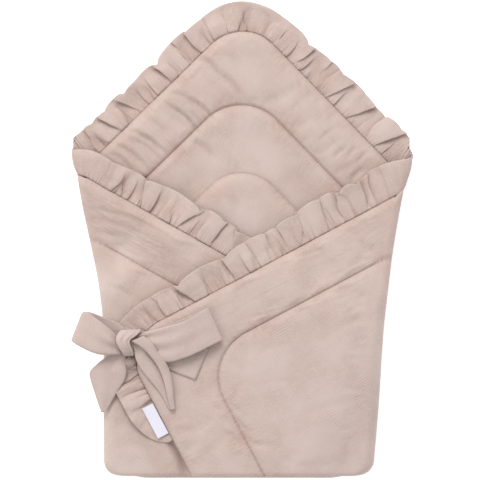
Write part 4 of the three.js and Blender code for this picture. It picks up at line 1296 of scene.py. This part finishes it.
def tape_material():
    """White satin tape: close ribs along its width, worked as a sine wave every 0.6 millimetres."""
    material, tree, shader = new_material("white woven tape", {"Roughness": 0.55, "Sheen Weight": 0.2})
    thread = add_node(tree, "ShaderNodeUVMap", uv_map="cloth").outputs[0]
    along = add_node(tree, "ShaderNodeSeparateXYZ", {0: thread}).outputs[0]
    rib = math_node(tree, "SINE", math_node(tree, "MULTIPLY", along, 2 * math.pi / 0.0006))
    tint = math_node(tree, "MULTIPLY_ADD", rib, 0.12, 0.5)
    colour = mixed(tree, tint, (0.76, 0.74, 0.84, 1), (0.68, 0.66, 0.76, 1))
    bump = add_node(tree, "ShaderNodeBump", {"Strength": 0.6, "Distance": 0.0001, "Height": rib})
    tree.links.new(colour, shader.inputs["Base Color"])
    tree.links.new(bump.outputs[0], shader.inputs["Normal"])
    return material


label = cloth_mesh("blank_label", [label_sheet()])
label.data.materials.append(tape_material())
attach(label, "root")
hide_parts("label")

# Room: a plain pale floor, a broad soft lamp from beyond the head, a weaker one from the left and even
# light from all round. The camera looks straight down from far enough that nothing converges.
floor_mesh = bpy.data.meshes.new("floor")
floor_mesh.from_pydata([(-6, -6, 0), (6, -6, 0), (6, 6, 0), (-6, 6, 0)], [], [(0, 1, 2, 3)])
floor = add_object("floor", floor_mesh)
floor.location.z = -0.0004
pale = {
    "Base Color": (0.8, 0.8, 0.8, 1),
    "Emission Color": (1, 1, 1, 1),
    "Emission Strength": 0.5,
    "Roughness": 0.9,
    "Specular IOR Level": 0.1,
}
floor_mesh.materials.append(new_material("pale floor", pale)[0])


def soft_lamp(name, place, size, power):
    """A square lamp that faces the middle of the wrap."""
    lamp = bpy.data.lights.new(name, "AREA")
    lamp.size, lamp.energy = size, power
    holder = add_object(name, lamp)
    holder.location = place
    holder.rotation_euler = mathutils.Vector(place).to_track_quat("Z", "Y").to_euler()


soft_lamp("head lamp", (-0.9, 4.2, 4.2), 3.0, 245)
soft_lamp("side lamp", (-2.2, -0.2, 2.0), 1.6, 14)

world = bpy.data.worlds.new("even light")
world.use_nodes = True
world.node_tree.nodes["Background"].inputs["Color"].default_value = (1, 1, 1, 1)
world.node_tree.nodes["Background"].inputs["Strength"].default_value = 0.75
bpy.context.scene.world = world
bpy.context.scene.view_settings.view_transform = "Standard"

# The frame is 0.6384 wide at the wrap's middle height
lens = bpy.data.cameras.new("camera")
camera = add_object("camera", lens)
camera_height, frame_height, frame_width = 6.0, 0.02, 0.6384
camera.location = (-0.002, 0.0007, camera_height)
lens.sensor_width = 36
lens.lens = lens.sensor_width * (camera_height - frame_height) / frame_width
lens.clip_end = 60
bpy.context.scene.camera = camera
